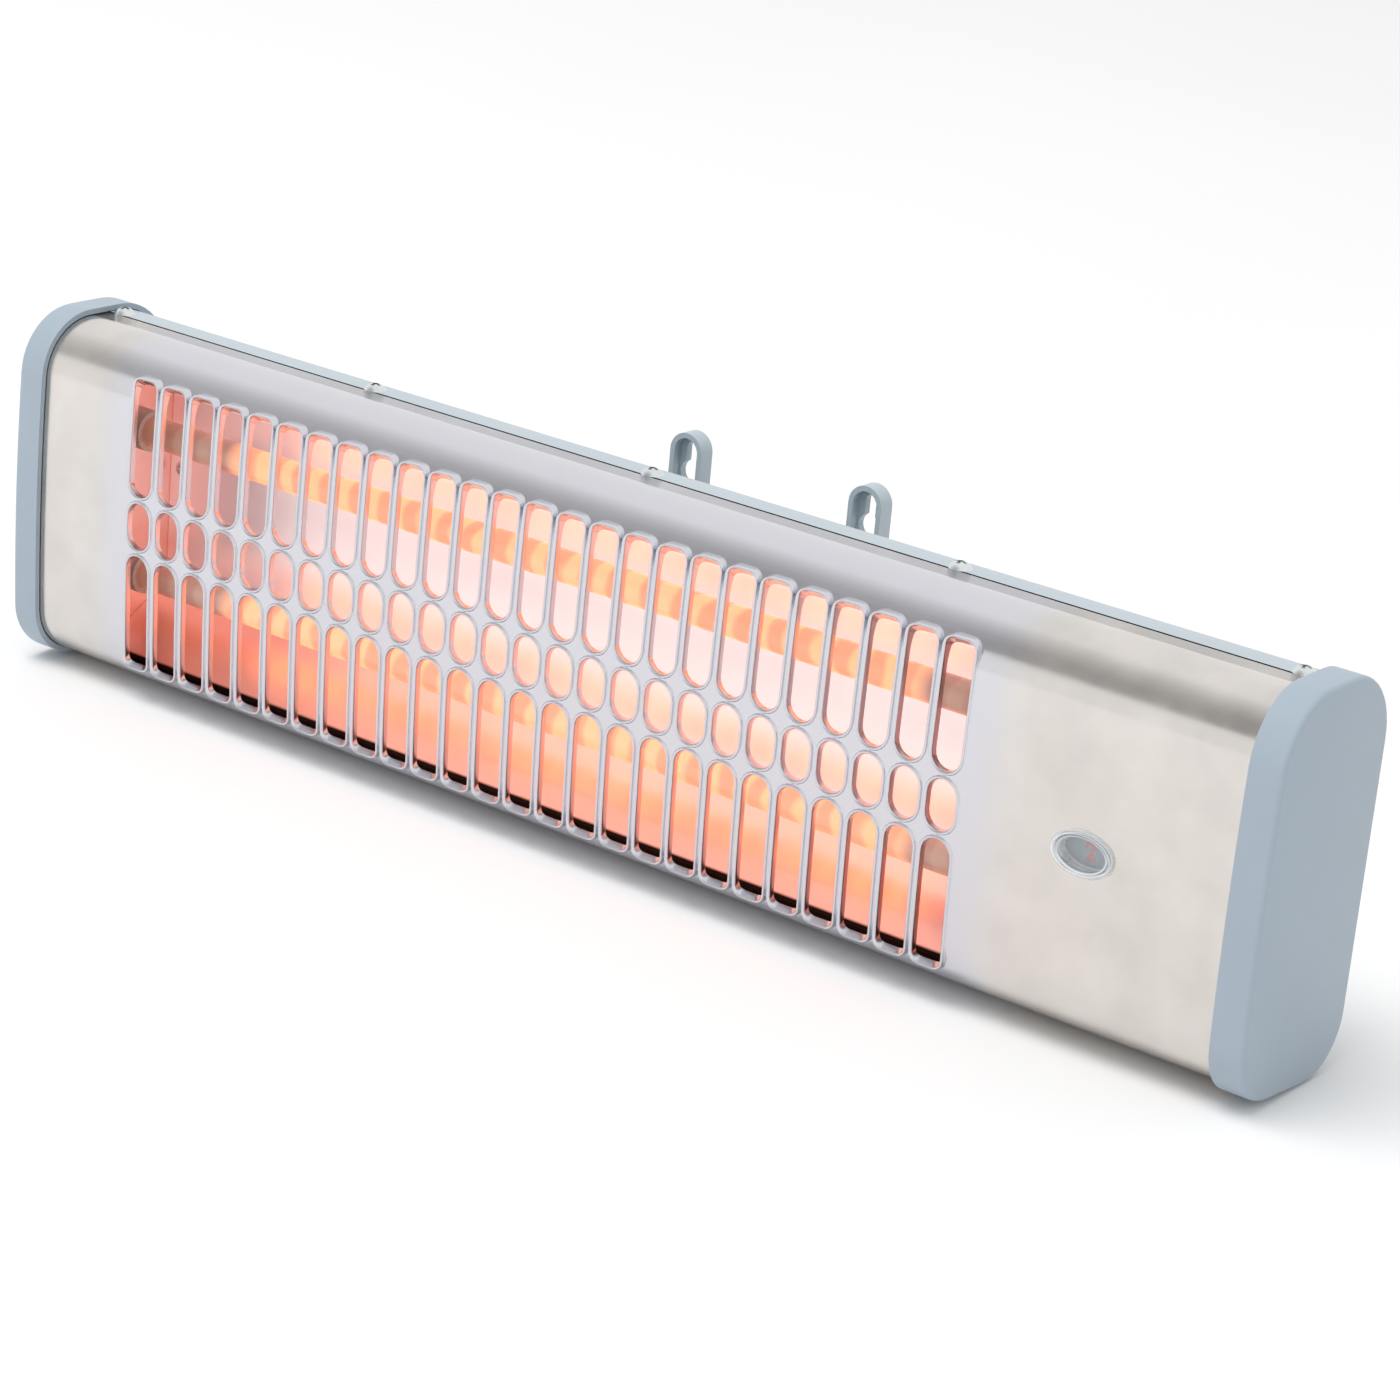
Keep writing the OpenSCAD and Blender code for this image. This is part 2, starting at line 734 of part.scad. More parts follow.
// A hole through the housing's back
module back_hole(x, z, r) {
    translate([x, 0, z])
        through(inner_back_y - over, body_depth + over)
            circle(r, $fn = round_fn);
}

// Puts its children, drawn with their outside up, at depth y facing the wall or the room
module facing_wall(x, y, z) {
    translate([x, y, z])
        rotate([-90, 0, 0])
            children();
}
module facing_room(x, y, z) {
    translate([x, y, z])
        rotate([90, 0, 0])
            children();
}

// Puts its children, drawn with their outside up, on a tube's axis at its left or right
module at_tube_end(side, z, x) {
    translate([grille_x + side * x, tube_y, z])
        rotate([0, side * 90, 0])
            children();
}

// Puts its children on the axis that the dial, the lever and the switch share
module at_dial() {
    translate([window_x, 0, dial_z])
        children();
}

// Tube swept along a path: rings keep their turn from one to the next
module swept(path, r, sides, start) {
    last = len(path) - 1;
    ways = [for (i = [0 : last]) unit(path[min(i + 1, last)] - path[max(i - 1, 0)])];
    normals = [
        for (i = 0, n = start; i <= last; i = i + 1,
            n = i > last ? n : unit(n - (n * ways[i]) * ways[i])) n
    ];
    rings = [
        for (i = [0 : last])
            for (j = [0 : sides - 1])
                let (a = 360 * j / sides)
                path[i] + r * (cos(a) * normals[i] + sin(a) * cross(ways[i], normals[i]))
    ];
    walls = [
        for (i = [0 : last - 1])
            for (j = [0 : sides - 1])
                let (k = (j + 1) % sides, a = i * sides, b = a + sides)
                each [[a + j, b + j, b + k], [a + j, b + k, a + k]]
    ];
    ends = [
        for (j = [1 : sides - 2])
            each [[0, j, j + 1], [last * sides, last * sides + j + 1, last * sides + j]]
    ];
    polyhedron(points = rings, faces = concat(walls, ends));
}

module lead(route, start) {
    color(lead_colour)
        at_heater()
            swept(rounded(route, lead_d * 3 / 2), lead_r, lead_sides, start);
}

// Puts its children on the top seam, or on the bottom seam turned over
module on_seams(tops) {
    for (x = screw_places)
        if (tops)
            translate([x, seam_screw_y, top_height])
                children();
        else
            translate([x, seam_screw_y, bottom_z(seam_screw_y)])
                rotate([180 - bottom_tilt, 0, 0])
                    children();
}

module seam_holes() {
    for (tops = [true, false])
        on_seams(tops)
            translate([0, 0, -screw_l])
                cylinder(h = screw_l + over, r = screw_r + fit, $fn = small_fn);
}

module front_panel() {
    tongue = housing_t + fit * 2;
    color(steel_colour)
        at_heater()
            difference() {
                union() {
                    along(-body_half, body_half) {
                        depth_band(-front_bow - over, seam_y)
                            skin(0, panel_t);
                        depth_band(seam_y - panel_t, seam_y)
                            skin(0, tongue + panel_t);
                        depth_band(seam_y - panel_t, seam_y + tongue_reach)
                            skin(tongue, tongue + panel_t);
                    }
                    intersection() {
                        along(
                            grille_x - half_columns * slot_pitch - slot_pitch,
                            grille_x + half_columns * slot_pitch + slot_pitch
                        )
                            bow_band(-lip_proud, lip_depth);
                        for (i = [0 : slot_columns - 1])
                            translate([grille_x + (i - half_columns) * slot_pitch, 0, 0])
                                through(-front_bow - lip_proud - over, lip_depth + over)
                                    slot_column(lip_t);
                    }
                }
                for (i = [0 : slot_columns - 1])
                    translate([grille_x + (i - half_columns) * slot_pitch, 0, 0])
                        through(-front_bow - lip_proud - 2 * over, lip_depth + 2 * over)
                            slot_column(0);
                translate([window_x, 0, 0])
                    through(-front_bow - over, panel_t + over)
                        oval(fit);
                seam_holes();
                at_cord_bush()
                    translate([0, 0, -bush_wall - over])
                        cylinder(h = bush_wall + 2 * over, r = cord_shank_r + fit, $fn = round_fn);
            }
}

module rear_housing() {
    color(paint_colour)
        at_heater()
            difference() {
                along(-body_half, body_half)
                    depth_band(seam_y + seam_gap, body_depth + over)
                        skin(0, housing_t);
                seam_holes();
                back_hole(supply_x, supply_z, supply_shank_r + fit);
                back_hole(earth_x, supply_z, stud_r + fit);
                for (x = [-1, 1] * cap_screw_x)
                    for (z = [-1, 1] * cap_screw_z)
                        back_hole(x, z, small_hole_r);
                for (x = foot_screw_x)
                    for (z = [-1, 1] * foot_screw_z)
                        back_hole(x, z, small_hole_r);
                for (x = [-1, 1] * tilt_screw_x)
                    for (z = [-1, 1] * tilt_screw_z)
                        back_hole(x, z, small_hole_r);
                for (z = [-1, 1] * clamp_screw_z)
                    back_hole(cutout_x, z, small_hole_r);
                for (x = [-1, 1] * block_screw_x)
                    back_hole(block_x + x, block_mid_z, small_hole_r);
                for (z = [-1, 1] * switch_screw_z)
                    back_hole(switch_right + small_head_d, dial_z + z, small_hole_r);
            }
}

module end_cap(side) {
    outer = cap_clear + cap_t;
    bevel = min(cap_bevel, cap_t * 4 / 5);
    color(cap_colour)
        at_heater()
            mirror([side < 0 ? 1 : 0, 0, 0])
                difference() {
                    union() {
                        along(half_length - cap_w, half_length - cap_t)
                            skin(-outer, -cap_clear);
                        hull() {
                            along(half_length - cap_t, half_length - bevel)
                                polygon(outline(-outer));
                            along(half_length - fit, half_length)
                                polygon(outline(bevel - outer));
                        }
                    }
                    for (z = [-1, 1] * cap_screw_z)
                        translate([cap_screw_x, 0, z])
                            through(body_depth, cap_back_y + over)
                                circle(small_hole_r, $fn = round_fn);
                }
}

module left_end_cap() {
    end_cap(-1);
}

module right_end_cap() {
    end_cap(1);
}

module reflector() {
    slope = unit([reflector_mouth - reflector_back, reflector_y - reflector_mouth_y]);
    mitre = (slope + [1, 0]) / (1 + slope[0]);
    inner = [
        [reflector_mouth_y, reflector_mouth + reflector_hem],
        [reflector_mouth_y, reflector_mouth],
        [reflector_y, reflector_back]
    ];
    outer = inner + reflector_t * [[1, 0], mitre, mitre];
    lower = [for (i = [2 : -1 : 0]) [inner[i][0], -inner[i][1]]];
    lower_outer = [for (p = outer) [p[0], -p[1]]];
    upper_outer = [for (i = [2 : -1 : 0]) outer[i]];
    color(steel_colour)
        at_heater()
            difference() {
                along(
                    left_plate_x + plate_t / 2 + gap,
                    right_plate_x - plate_t / 2 - gap
                )
                    polygon(concat(inner, lower, lower_outer, upper_outer));
                for (x = tab_screw_x)
                    for (z = [-1, 1] * tab_screw_z)
                        translate([x, 0, z])
                            through(reflector_y - over, reflector_y + reflector_t + over)
                                circle(small_hole_r, $fn = round_fn);
            }
}

// Plate that carries the tubes, drawn with its foot towards +X
module side_plate(side) {
    back = plate_half_h - foot_w;
    cut_y = inner_back_y - foot_w + 2 * plate_t;
    tab_y = reflector_y + reflector_t;
    color(zinc_colour)
        at_heater()
            translate([side < 0 ? left_plate_x : right_plate_x, 0, 0])
                mirror([side < 0 ? 1 : 0, 0, 0])
                    difference() {
                        union() {
                            along(-plate_t / 2, plate_t / 2)
                                polygon([
                                    [plate_front_y, -plate_half_h],
                                    [cut_y, -plate_half_h],
                                    [inner_back_y, -back],
                                    [inner_back_y, back],
                                    [cut_y, plate_half_h],
                                    [plate_front_y, plate_half_h]
                                ]);
                            along(-plate_t / 2, plate_t / 2 + foot_w)
                                translate([inner_back_y - plate_t, -foot_half_h])
                                    square([plate_t, 2 * foot_half_h]);
                            along(-plate_t / 2 - tab_w, plate_t / 2)
                                translate([tab_y, -tab_half_h])
                                    square([plate_t, 2 * tab_half_h]);
                        }
                        for (z = [lower_z, upper_z]) {
                            along(-plate_t / 2 - over, plate_t / 2 + over) {
                                translate([tube_y, z])
                                    circle(groove_r + fit, $fn = 96);
                                translate([plate_front_y - over, z - notch_neck])
                                    square([tube_y - plate_front_y + over, 2 * notch_neck]);
                            }
                        }
                        for (z = [lower_z, -blade_z, blade_z])
                            along(-plate_t / 2 - over, plate_t / 2 + over)
                                translate([lead_y, z])
                                    circle(lead_hole_r, $fn = round_fn);
                        for (z = [-1, 1] * foot_screw_z)
                            translate([(plate_t + foot_w) / 2, 0, z])
                                through(inner_back_y - 2 * plate_t, inner_back_y + over)
                                    circle(small_hole_r, $fn = round_fn);
                        for (z = [-1, 1] * tab_screw_z)
                            translate([-(plate_t + tab_w) / 2, 0, z])
                                through(tab_y - over, tab_y + plate_t + over)
                                    circle(small_hole_r, $fn = round_fn);
                    }
}

module left_side_plate() {
    side_plate(-1);
}

module right_side_plate() {
    side_plate(1);
}

module quartz_tube(z) {
    color([1, 0.8, 0.65, 0.5])
        at_heater()
            at_tube_end(1, z, -tube_half)
                difference() {
                    cylinder(h = tube_length, r = tube_r, $fn = round_fn);
                    translate([0, 0, -over])
                        cylinder(h = tube_length + 2 * over, r = tube_r - tube_wall, $fn = round_fn);
                }
}

module upper_quartz_tube() {
    quartz_tube(upper_z);
}

module lower_quartz_tube() {
    quartz_tube(lower_z);
}

module heating_coil(z) {
    color(glow_colour)
        at_heater()
            translate([grille_x - coil_half, tube_y, z])
                swept(coil_path, coil_wire / 2, wire_sides, [0, 1, 0]);
}

module upper_heating_coil() {
    heating_coil(upper_z);
}

module lower_heating_coil() {
    heating_coil(lower_z);
}

module ceramic(side, z) {
    color(ceramic_colour)
        at_heater()
            at_tube_end(side, z, ceramic_in)
                difference() {
                    cylinder(h = ceramic_length, d = ceramic_d, $fn = 96);
                    translate([0, 0, -over])
                        cylinder(h = ceramic_socket + over, r = tube_r + fit, $fn = 96);
                    cylinder(h = ceramic_length + over, r = stud_r + fit, $fn = round_fn);
                    translate([0, 0, (ceramic_length - ceramic_groove) / 2])
                        difference() {
                            cylinder(h = ceramic_groove, d = ceramic_d + over, $fn = 96);
                            cylinder(h = ceramic_groove, r = groove_r, $fn = 96);
                        }
                }
}

module upper_left_ceramic() {
    ceramic(-1, upper_z);
}

module upper_right_ceramic() {
    ceramic(1, upper_z);
}

module lower_left_ceramic() {
    ceramic(-1, lower_z);
}

module lower_right_ceramic() {
    ceramic(1, lower_z);
}

// Each stud goes on as the cold lead inside its tube, up to the coil's collar
module terminal_studs() {
    color(zinc_colour)
        at_heater()
            for (side = [-1, 1])
                for (z = [lower_z, upper_z])
                    at_tube_end(side, z, coil_half) {
                        cylinder(h = collar_t, r = collar_r, $fn = round_fn);
                        cylinder(h = tube_half - coil_half, d = cold_lead_d, $fn = small_fn);
                        translate([0, 0, tube_half - coil_half])
                            cylinder(
                                h = ceramic_out + stud_reach - tube_half,
                                r = stud_r,
                                $fn = small_fn
                            );
                    }
}

// Each nut holds one ring terminal, the lower left one two
module stud_nuts() {
    color(zinc_colour)
        at_heater()
            for (side = [-1, 1])
                for (z = [lower_z, upper_z])
                    at_tube_end(side, z, ceramic_out + tag_t + (side < 0 && z < 0 ? tag_step : 0))
                        hex_nut(stud_d, stud_d * 4 / 5);
}

module ring_terminal(turn) {
    rotate([0, 0, turn])
        difference() {
            union() {
                cylinder(h = tag_t, r = stud_d, $fn = round_fn);
                translate([0, -sleeve_r + tag_t / 2, 0])
                    cube([tag_reach - sleeve_l / 2, 2 * sleeve_r - tag_t, tag_t]);
                translate([tag_reach - sleeve_l, 0, sleeve_r])
                    rotate([0, 90, 0])
                        cylinder(h = sleeve_l, r = sleeve_r, $fn = round_fn);
            }
            translate([0, 0, -over])
                cylinder(h = tag_t + 2 * over, r = stud_r + fit, $fn = small_fn);
        }
}

module ring_terminals() {
    color(zinc_colour)
        at_heater() {
            at_tube_end(-1, upper_z, ceramic_out)
                ring_terminal(180);
            at_tube_end(-1, lower_z, ceramic_out)
                ring_terminal(0);
            at_tube_end(-1, lower_z, ceramic_out + tag_step)
                ring_terminal(90);
            at_tube_end(1, upper_z, ceramic_out)
                ring_terminal(0);
            at_tube_end(1, lower_z, ceramic_out)
                ring_terminal(0);
            facing_room(earth_x, inner_back_y, supply_z)
                ring_terminal(90);
        }
}

module left_link_lead() {
    lead(link_route, [0, 1, 0]);
}

module return_lead() {
    lead(return_route, [0, 0, 1]);
}

module upper_lead() {
    lead(upper_route, [0, 1, 0]);
}

module lower_lead() {
    lead(lower_route, [0, 1, 0]);
}

module cutout_lead() {
    lead(cutout_route, [0, 1, 0]);
}

module switch_lead() {
    lead(switch_route, [0, 0, 1]);
}

module earth_lead() {
    lead(earth_route, [0, 1, 0]);
}

// Flange, cap and two blades with crimped sleeves
module thermal_cutout() {
    cap_y = inner_back_y - cutout_h;
    color(black_colour)
        at_heater() {
            facing_wall(cutout_x, inner_back_y - cutout_flange_h, 0)
                cylinder(h = cutout_flange_h, r = cutout_flange_r, $fn = round_fn);
            facing_wall(cutout_x, cap_y, 0)
                cylinder(h = cutout_h - cutout_flange_h, r = cutout_r, $fn = round_fn);
            for (z = [-1, 1] * blade_z) {
                translate([cutout_x, lead_y - tag_t / 2, z - sleeve_r + tag_t / 2])
                    cube([blade_end - cutout_x, tag_t, 2 * sleeve_r - tag_t]);
                translate([blade_end - sleeve_l, lead_y, z])
                    rotate([0, 90, 0])
                        cylinder(h = sleeve_l, r = sleeve_r, $fn = round_fn);
            }
        }
}

module cutout_clamp() {
    leg_out = clamp_leg + clamp_t;
    foot_out = clamp_screw_z + small_head_d / 2;
    color(zinc_colour)
        at_heater()
            difference() {
                for (s = [0, 1])
                    mirror([0, 0, s])
                        along(cutout_x - clamp_half_w, cutout_x + clamp_half_w)
                            polygon([
                                [clamp_y, 0],
                                [clamp_y, leg_out],
                                [inner_back_y - clamp_t, leg_out],
                                [inner_back_y - clamp_t, foot_out],
                                [inner_back_y, foot_out],
                                [inner_back_y, clamp_leg],
                                [clamp_y + clamp_t, clamp_leg],
                                [clamp_y + clamp_t, 0]
                            ]);
                facing_wall(cutout_x, clamp_y - over, 0)
                    cylinder(h = clamp_t + 2 * over, r = cutout_r + fit, $fn = round_fn);
                for (z = [-1, 1] * clamp_screw_z)
                    facing_wall(cutout_x, inner_back_y - 2 * clamp_t, z)
                        cylinder(h = 3 * clamp_t, r = small_hole_r, $fn = round_fn);
            }
}

// A small screw driven from behind through the housing's back
module back_screw(x, z, l) {
    facing_wall(x, body_depth, z)
        pan_screw(small_d, small_head_d, small_head_h, l);
}

module cutout_screws() {
    color(zinc_colour)
        at_heater()
            for (z = [-1, 1] * clamp_screw_z)
                back_screw(cutout_x, z, small_l);
}

// Block with a ridge round each of its three screw wells
module terminal_block() {
    well_r = block_l / 12;
    color(ceramic_colour)
        at_heater()
            difference() {
                union() {
                    translate([block_in_x, block_y + well_r, block_z0])
                        cube([block_l, block_d - well_r, block_h]);
                    for (i = [-1 : 1])
                        translate([block_x + i * block_l / 3 - well_r * 3 / 2, block_y, block_z0])
                            cube([well_r * 3, block_d - well_r, block_h]);
                }
                for (i = [-1 : 1])
                    facing_wall(block_x + i * block_l / 3, block_y - over, block_mid_z + block_h / 4)
                        cylinder(h = block_d / 2, r = well_r, $fn = round_fn);
                for (x = [-1, 1] * block_screw_x)
                    facing_room(block_x + x, inner_back_y + over, block_mid_z)
                        cylinder(h = small_l + over, r = small_hole_r, $fn = round_fn);
            }
}

module terminal_screws() {
    color(zinc_colour)
        at_heater()
            for (x = [-1, 1] * block_screw_x)
                back_screw(block_x + x, block_mid_z, small_l);
}

// Body of the pull switch with the boss that carries the lever's spring
module pull_switch_body() {
    boss_y = lever_y + lever_t + gap;
    color(black_colour)
        at_heater()
            difference() {
                union() {
                    translate([switch_left, switch_y, dial_z - switch_h / 2])
                        cube([switch_right - switch_left, switch_d, switch_h]);
                    at_dial()
                        through(boss_y, switch_y + over)
                            circle(boss_r, $fn = round_fn);
                }
                at_dial()
                    through(boss_y - over, switch_y + spindle_seat + gap)
                        circle(spindle_r + fit, $fn = round_fn);
                for (x = switch_screw_x)
                    facing_room(x, switch_back + over, dial_z)
                        cylinder(h = small_l + over, r = small_hole_r, $fn = round_fn);
            }
}

// Plate behind the switch, leg and foot on the housing's back
module switch_bracket() {
    z0 = dial_z - switch_bracket_h / 2;
    leg_l = inner_back_y - switch_back;
    color(zinc_colour)
        at_heater()
            difference() {
                union() {
                    translate([bracket_left, switch_back, z0])
                        cube([switch_right - bracket_left, switch_bracket_t, switch_bracket_h]);
                    translate([switch_right - switch_bracket_t, switch_back, z0])
                        cube([switch_bracket_t, leg_l, switch_bracket_h]);
                    translate([
                        switch_right - switch_bracket_t,
                        inner_back_y - switch_bracket_t,
                        z0
                    ])
                        cube([
                            bracket_foot_x - switch_right + switch_bracket_t,
                            switch_bracket_t,
                            switch_bracket_h
                        ]);
                }
                for (x = switch_screw_x)
                    facing_room(x, switch_back + switch_bracket_t + over, dial_z)
                        cylinder(h = switch_bracket_t + 2 * over, r = small_hole_r, $fn = round_fn);
                for (z = [-1, 1] * switch_screw_z)
                    facing_room(switch_right + small_head_d, inner_back_y + over, dial_z + z)
                        cylinder(h = switch_bracket_t + 2 * over, r = small_hole_r, $fn = round_fn);
            }
}

module switch_screws() {
    color(zinc_colour)
        at_heater() {
            for (x = switch_screw_x)
                facing_wall(x, switch_back + switch_bracket_t, dial_z)
                    pan_screw(small_d, small_head_d, small_head_h, small_l);
            for (z = [-1, 1] * switch_screw_z)
                back_screw(switch_right + small_head_d, dial_z + z, small_l);
        }
}

// Spindle with a thinner nose, riveted over in front of the dial
module dial_spindle() {
    color(zinc_colour)
        at_heater()
            at_dial() {
                through(dial_y + dial_t, switch_y + spindle_seat)
                    circle(spindle_r, $fn = round_fn);
                through(dial_y - tag_t, dial_y + dial_t + fit)
                    circle(nose_r, $fn = round_fn);
                through(dial_y - tag_t, dial_y)
                    circle(spindle_r, $fn = round_fn);
            }
}

module number_dial() {
    color(dial_colour)
        at_heater()
            at_dial()
                through(dial_y, dial_y + dial_t)
                    difference() {
                        circle(dial_r, $fn = 96);
                        circle(nose_r + fit, $fn = round_fn);
                    }
}

module pull_lever() {
    color(zinc_colour)
        at_heater()
            at_dial()
                difference() {
                    union() {
                        through(lever_y, lever_y + lever_t)
                            circle(lever_hub_r, $fn = round_fn);
                        through(lever_y, lever_y + lever_t)
                            translate([lever_l, 0])
                                circle(lever_end_r, $fn = round_fn);
                        through(lever_y, lever_y + lever_t)
                            polygon(web([0, 0], lever_hub_r, [lever_l, 0], lever_end_r));
                    }
                    through(lever_y - over, lever_y + lever_t + over) {
                        circle(spindle_r + fit, $fn = round_fn);
                        translate([lever_l, 0])
                            circle(lever_eye_r, $fn = round_fn);
                    }
                }
}

module lever_spring() {
    color(zinc_colour)
        at_heater()
            at_dial()
                translate([0, spring_front, 0])
                    rotate([0, 0, 90])
                        swept(spring_path, spring_wire / 2, wire_sides, [0, 1, 0]);
}

// Clear lens with a raised rim outside and four clips through the panel
module indicator_window() {
    face = -front_bow - window_proud;
    color([0.85, 0.9, 0.95, 0.5])
        at_heater()
            translate([window_x, 0, 0])
                difference() {
                    union() {
                        through(face, -front_bow)
                            oval(window_rim);
                        through(-front_bow - over / 2, window_depth)
                            difference() {
                                oval(0);
                                oval(-window_wall);
                            }
                    }
                    through(face - over, face + window_proud / 3)
                        oval(-window_wall);
                    through(-front_bow, window_depth + over) {
                        square([2 * window_b, window_b / 2], center = true);
                        square([2 * window_a + over, window_b / 3], center = true);
                        square([window_a / 3, 2 * window_b + over], center = true);
                    }
                }
}

module window_retainer() {
    color(zinc_colour)
        at_heater()
            translate([window_x, 0, 0])
                through(window_seat_y, window_seat_y + retainer_t)
                    difference() {
                        oval(retainer_reach);
                        oval(fit);
                    }
}

// Bush drawn with its outer lip up, seated in a sheet of the given thickness
module cord_bush(bore_r, shank_r, lip_r, sheet) {
    difference() {
        union() {
            cylinder(h = bush_lip, r = lip_r, $fn = round_fn);
            translate([0, 0, -sheet - over / 2])
                cylinder(h = sheet + over, r = shank_r, $fn = round_fn);
            translate([0, 0, -sheet - bush_lip])
                cylinder(h = bush_lip, r = lip_r - bush_lip / 3, $fn = round_fn);
        }
        translate([0, 0, -sheet - bush_lip - over])
            cylinder(h = sheet + 2 * bush_lip + 2 * over, r = bore_r, $fn = round_fn);
    }
}

module pull_cord_bush() {
    color(cap_colour)
        at_heater()
            at_cord_bush()
                cord_bush(cord_bore_r, cord_shank_r, cord_lip_r, panel_t);
}

module supply_cord_bush() {
    color(black_colour)
        at_heater()
            facing_wall(supply_x, body_depth, supply_z)
                cord_bush(supply_bore_r, supply_shank_r, supply_lip_r, housing_t);
}

module earth_stud() {
    color(zinc_colour)
        at_heater()
            facing_wall(earth_x, body_depth, supply_z) {
                cylinder(h = housing_t, r = stud_d, $fn = round_fn);
                translate([0, 0, -housing_t - stud_reach])
                    cylinder(h = housing_t + stud_reach, r = stud_r, $fn = small_fn);
            }
}

module earth_nut() {
    color(zinc_colour)
        at_heater()
            facing_room(earth_x, inner_back_y - tag_t, supply_z)
                hex_nut(stud_d, stud_d * 4 / 5);
}

module top_screws() {
    color(steel_colour)
        at_heater()
            on_seams(true)
                pan_screw(screw_d, screw_head_d, screw_head_h, screw_l);
}

module bottom_screws() {
    color(steel_colour)
        at_heater()
            on_seams(false)
                pan_screw(screw_d, screw_head_d, screw_head_h, screw_l);
}

module end_cap_screws() {
    color(zinc_colour)
        at_heater()
            for (x = [-1, 1] * cap_screw_x)
                for (z = [-1, 1] * cap_screw_z)
                    facing_wall(x, cap_back_y, z)
                        pan_screw(small_d, small_head_d, small_head_h, small_l);
}

module side_plate_screws() {
    color(zinc_colour)
        at_heater()
            for (x = foot_screw_x)
                for (z = [-1, 1] * foot_screw_z)
                    back_screw(x, z, small_l);
}

module reflector_screws() {
    color(zinc_colour)
        at_heater()
            for (x = tab_screw_x)
                for (z = [-1, 1] * tab_screw_z)
                    facing_room(x, reflector_y, z)
                        pan_screw(small_d, small_head_d, small_head_h, small_l);
}

// Base on the housing's back with two cheeks that turn on the pivot screws
module tilt_bracket() {
    base = body_depth + tilt_t;
    centre = [cheek_y, 0];
    foot = [body_depth, tilt_base_half_h];
    color(paint_colour)
        at_heater()
            difference() {
                union() {
                    translate([-cheek_out, body_depth, -tilt_base_half_h])
                        cube([2 * cheek_out, tilt_t, 2 * tilt_base_half_h]);
                    for (s = [0, 1])
                        mirror([s, 0, 0])
                            along(cheek_in, cheek_out) {
                                translate(centre)
                                    circle(tilt_end_r, $fn = round_fn);
                                polygon([
                                    foot,
                                    touch(foot, centre, tilt_end_r, -1),
                                    touch([foot[0], -foot[1]], centre, tilt_end_r, 1),
                                    [foot[0], -foot[1]]
                                ]);
                            }
                }
                along(-cheek_out - over, cheek_out + over)
                    translate(centre)
                        circle(pivot_r + fit, $fn = round_fn);
                for (x = [-1, 1] * tilt_screw_x)
                    for (z = [-1, 1] * tilt_screw_z)
                        facing_wall(x, body_depth - over, z)
                            cylinder(h = tilt_t + 2 * over, r = small_hole_r, $fn = round_fn);
            }
}

module tilt_bracket_screws() {
    color(zinc_colour)
        at_heater()
            for (x = [-1, 1] * tilt_screw_x)
                for (z = [-1, 1] * tilt_screw_z)
                    facing_wall(x, body_depth + tilt_t, z)
                        pan_screw(small_d, small_head_d, small_head_h, small_l);
}

module ear_shape(g) {
    translate([0, ear_arch_z])
        circle(ear_r + g, $fn = 96);
    translate([-ear_r - g, bracket_top - g])
        square([ear_w + 2 * g, ear_arch_z - bracket_top + g]);
}

module keyhole() {
    circle(keyhole_r, $fn = round_fn);
    translate([0, keyhole_rise])
        circle(keyhole_slot_w / 2, $fn = round_fn);
    translate([-keyhole_slot_w / 2, 0])
        square([keyhole_slot_w, keyhole_rise]);
}

// Plate on the wall with two rimmed ears above and two arms that carry the tilt axis,
// drawn straight in the whole part's frame
module wall_bracket() {
    top_corner = [0, bracket_top];
    low_corner = [0, bracket_bottom];
    color(paint_colour)
        difference() {
            union() {
                through(-bracket_t, 0) {
                    translate([-bracket_half, bracket_bottom])
                        square([2 * bracket_half, bracket_h]);
                    for (s = [-1, 1])
                        translate([s * keyhole_spacing / 2, 0])
                            ear_shape(0);
                }
                for (s = [-1, 1])
                    translate([s * keyhole_spacing / 2, 0])
                        through(-ear_depth, 0)
                            difference() {
                                ear_shape(0);
                                ear_shape(-ear_wall);
                            }
                for (s = [0, 1])
                    mirror([s, 0, 0])
                        along(arm_in, bracket_half) {
                            translate(pivot)
                                circle(arm_end_r, $fn = 96);
                            polygon([
                                top_corner,
                                touch(top_corner, pivot, arm_end_r, 1),
                                touch(low_corner, pivot, arm_end_r, -1),
                                low_corner
                            ]);
                        }
            }
            for (s = [-1, 1])
                translate([s * keyhole_spacing / 2, 0])
                    through(-ear_depth - over, over)
                        keyhole();
            along(-bracket_half - over, bracket_half + over)
                translate(pivot)
                    circle(pivot_r + fit, $fn = round_fn);
        }
}

// Puts its children, drawn with their outside up, on the tilt axis at both ends
module at_pivots(x) {
    for (s = [-1, 1])
        translate([s * x, pivot[0], pivot[1]])
            rotate([0, s * 90, 0])
                children();
}

module pivot_screws() {
    color(zinc_colour)
        at_pivots(bracket_half)
            pan_screw(
                pivot_d,
                2 * pivot_d,
                pivot_head_h,
                bracket_half - cheek_in + pivot_nut_t + 4 * fit + tag_t
            );
}

module friction_washers() {
    color(black_colour)
        at_pivots(arm_in - washer_t)
            difference() {
                cylinder(h = washer_t, r = tilt_end_r - washer_t, $fn = round_fn);
                translate([0, 0, -over])
                    cylinder(h = washer_t + 2 * over, r = pivot_r + fit, $fn = round_fn);
            }
}

module pivot_nuts() {
    color(zinc_colour)
        at_pivots(cheek_in - 2 * fit - pivot_nut_t)
            hex_nut(pivot_d, pivot_nut_t);
}

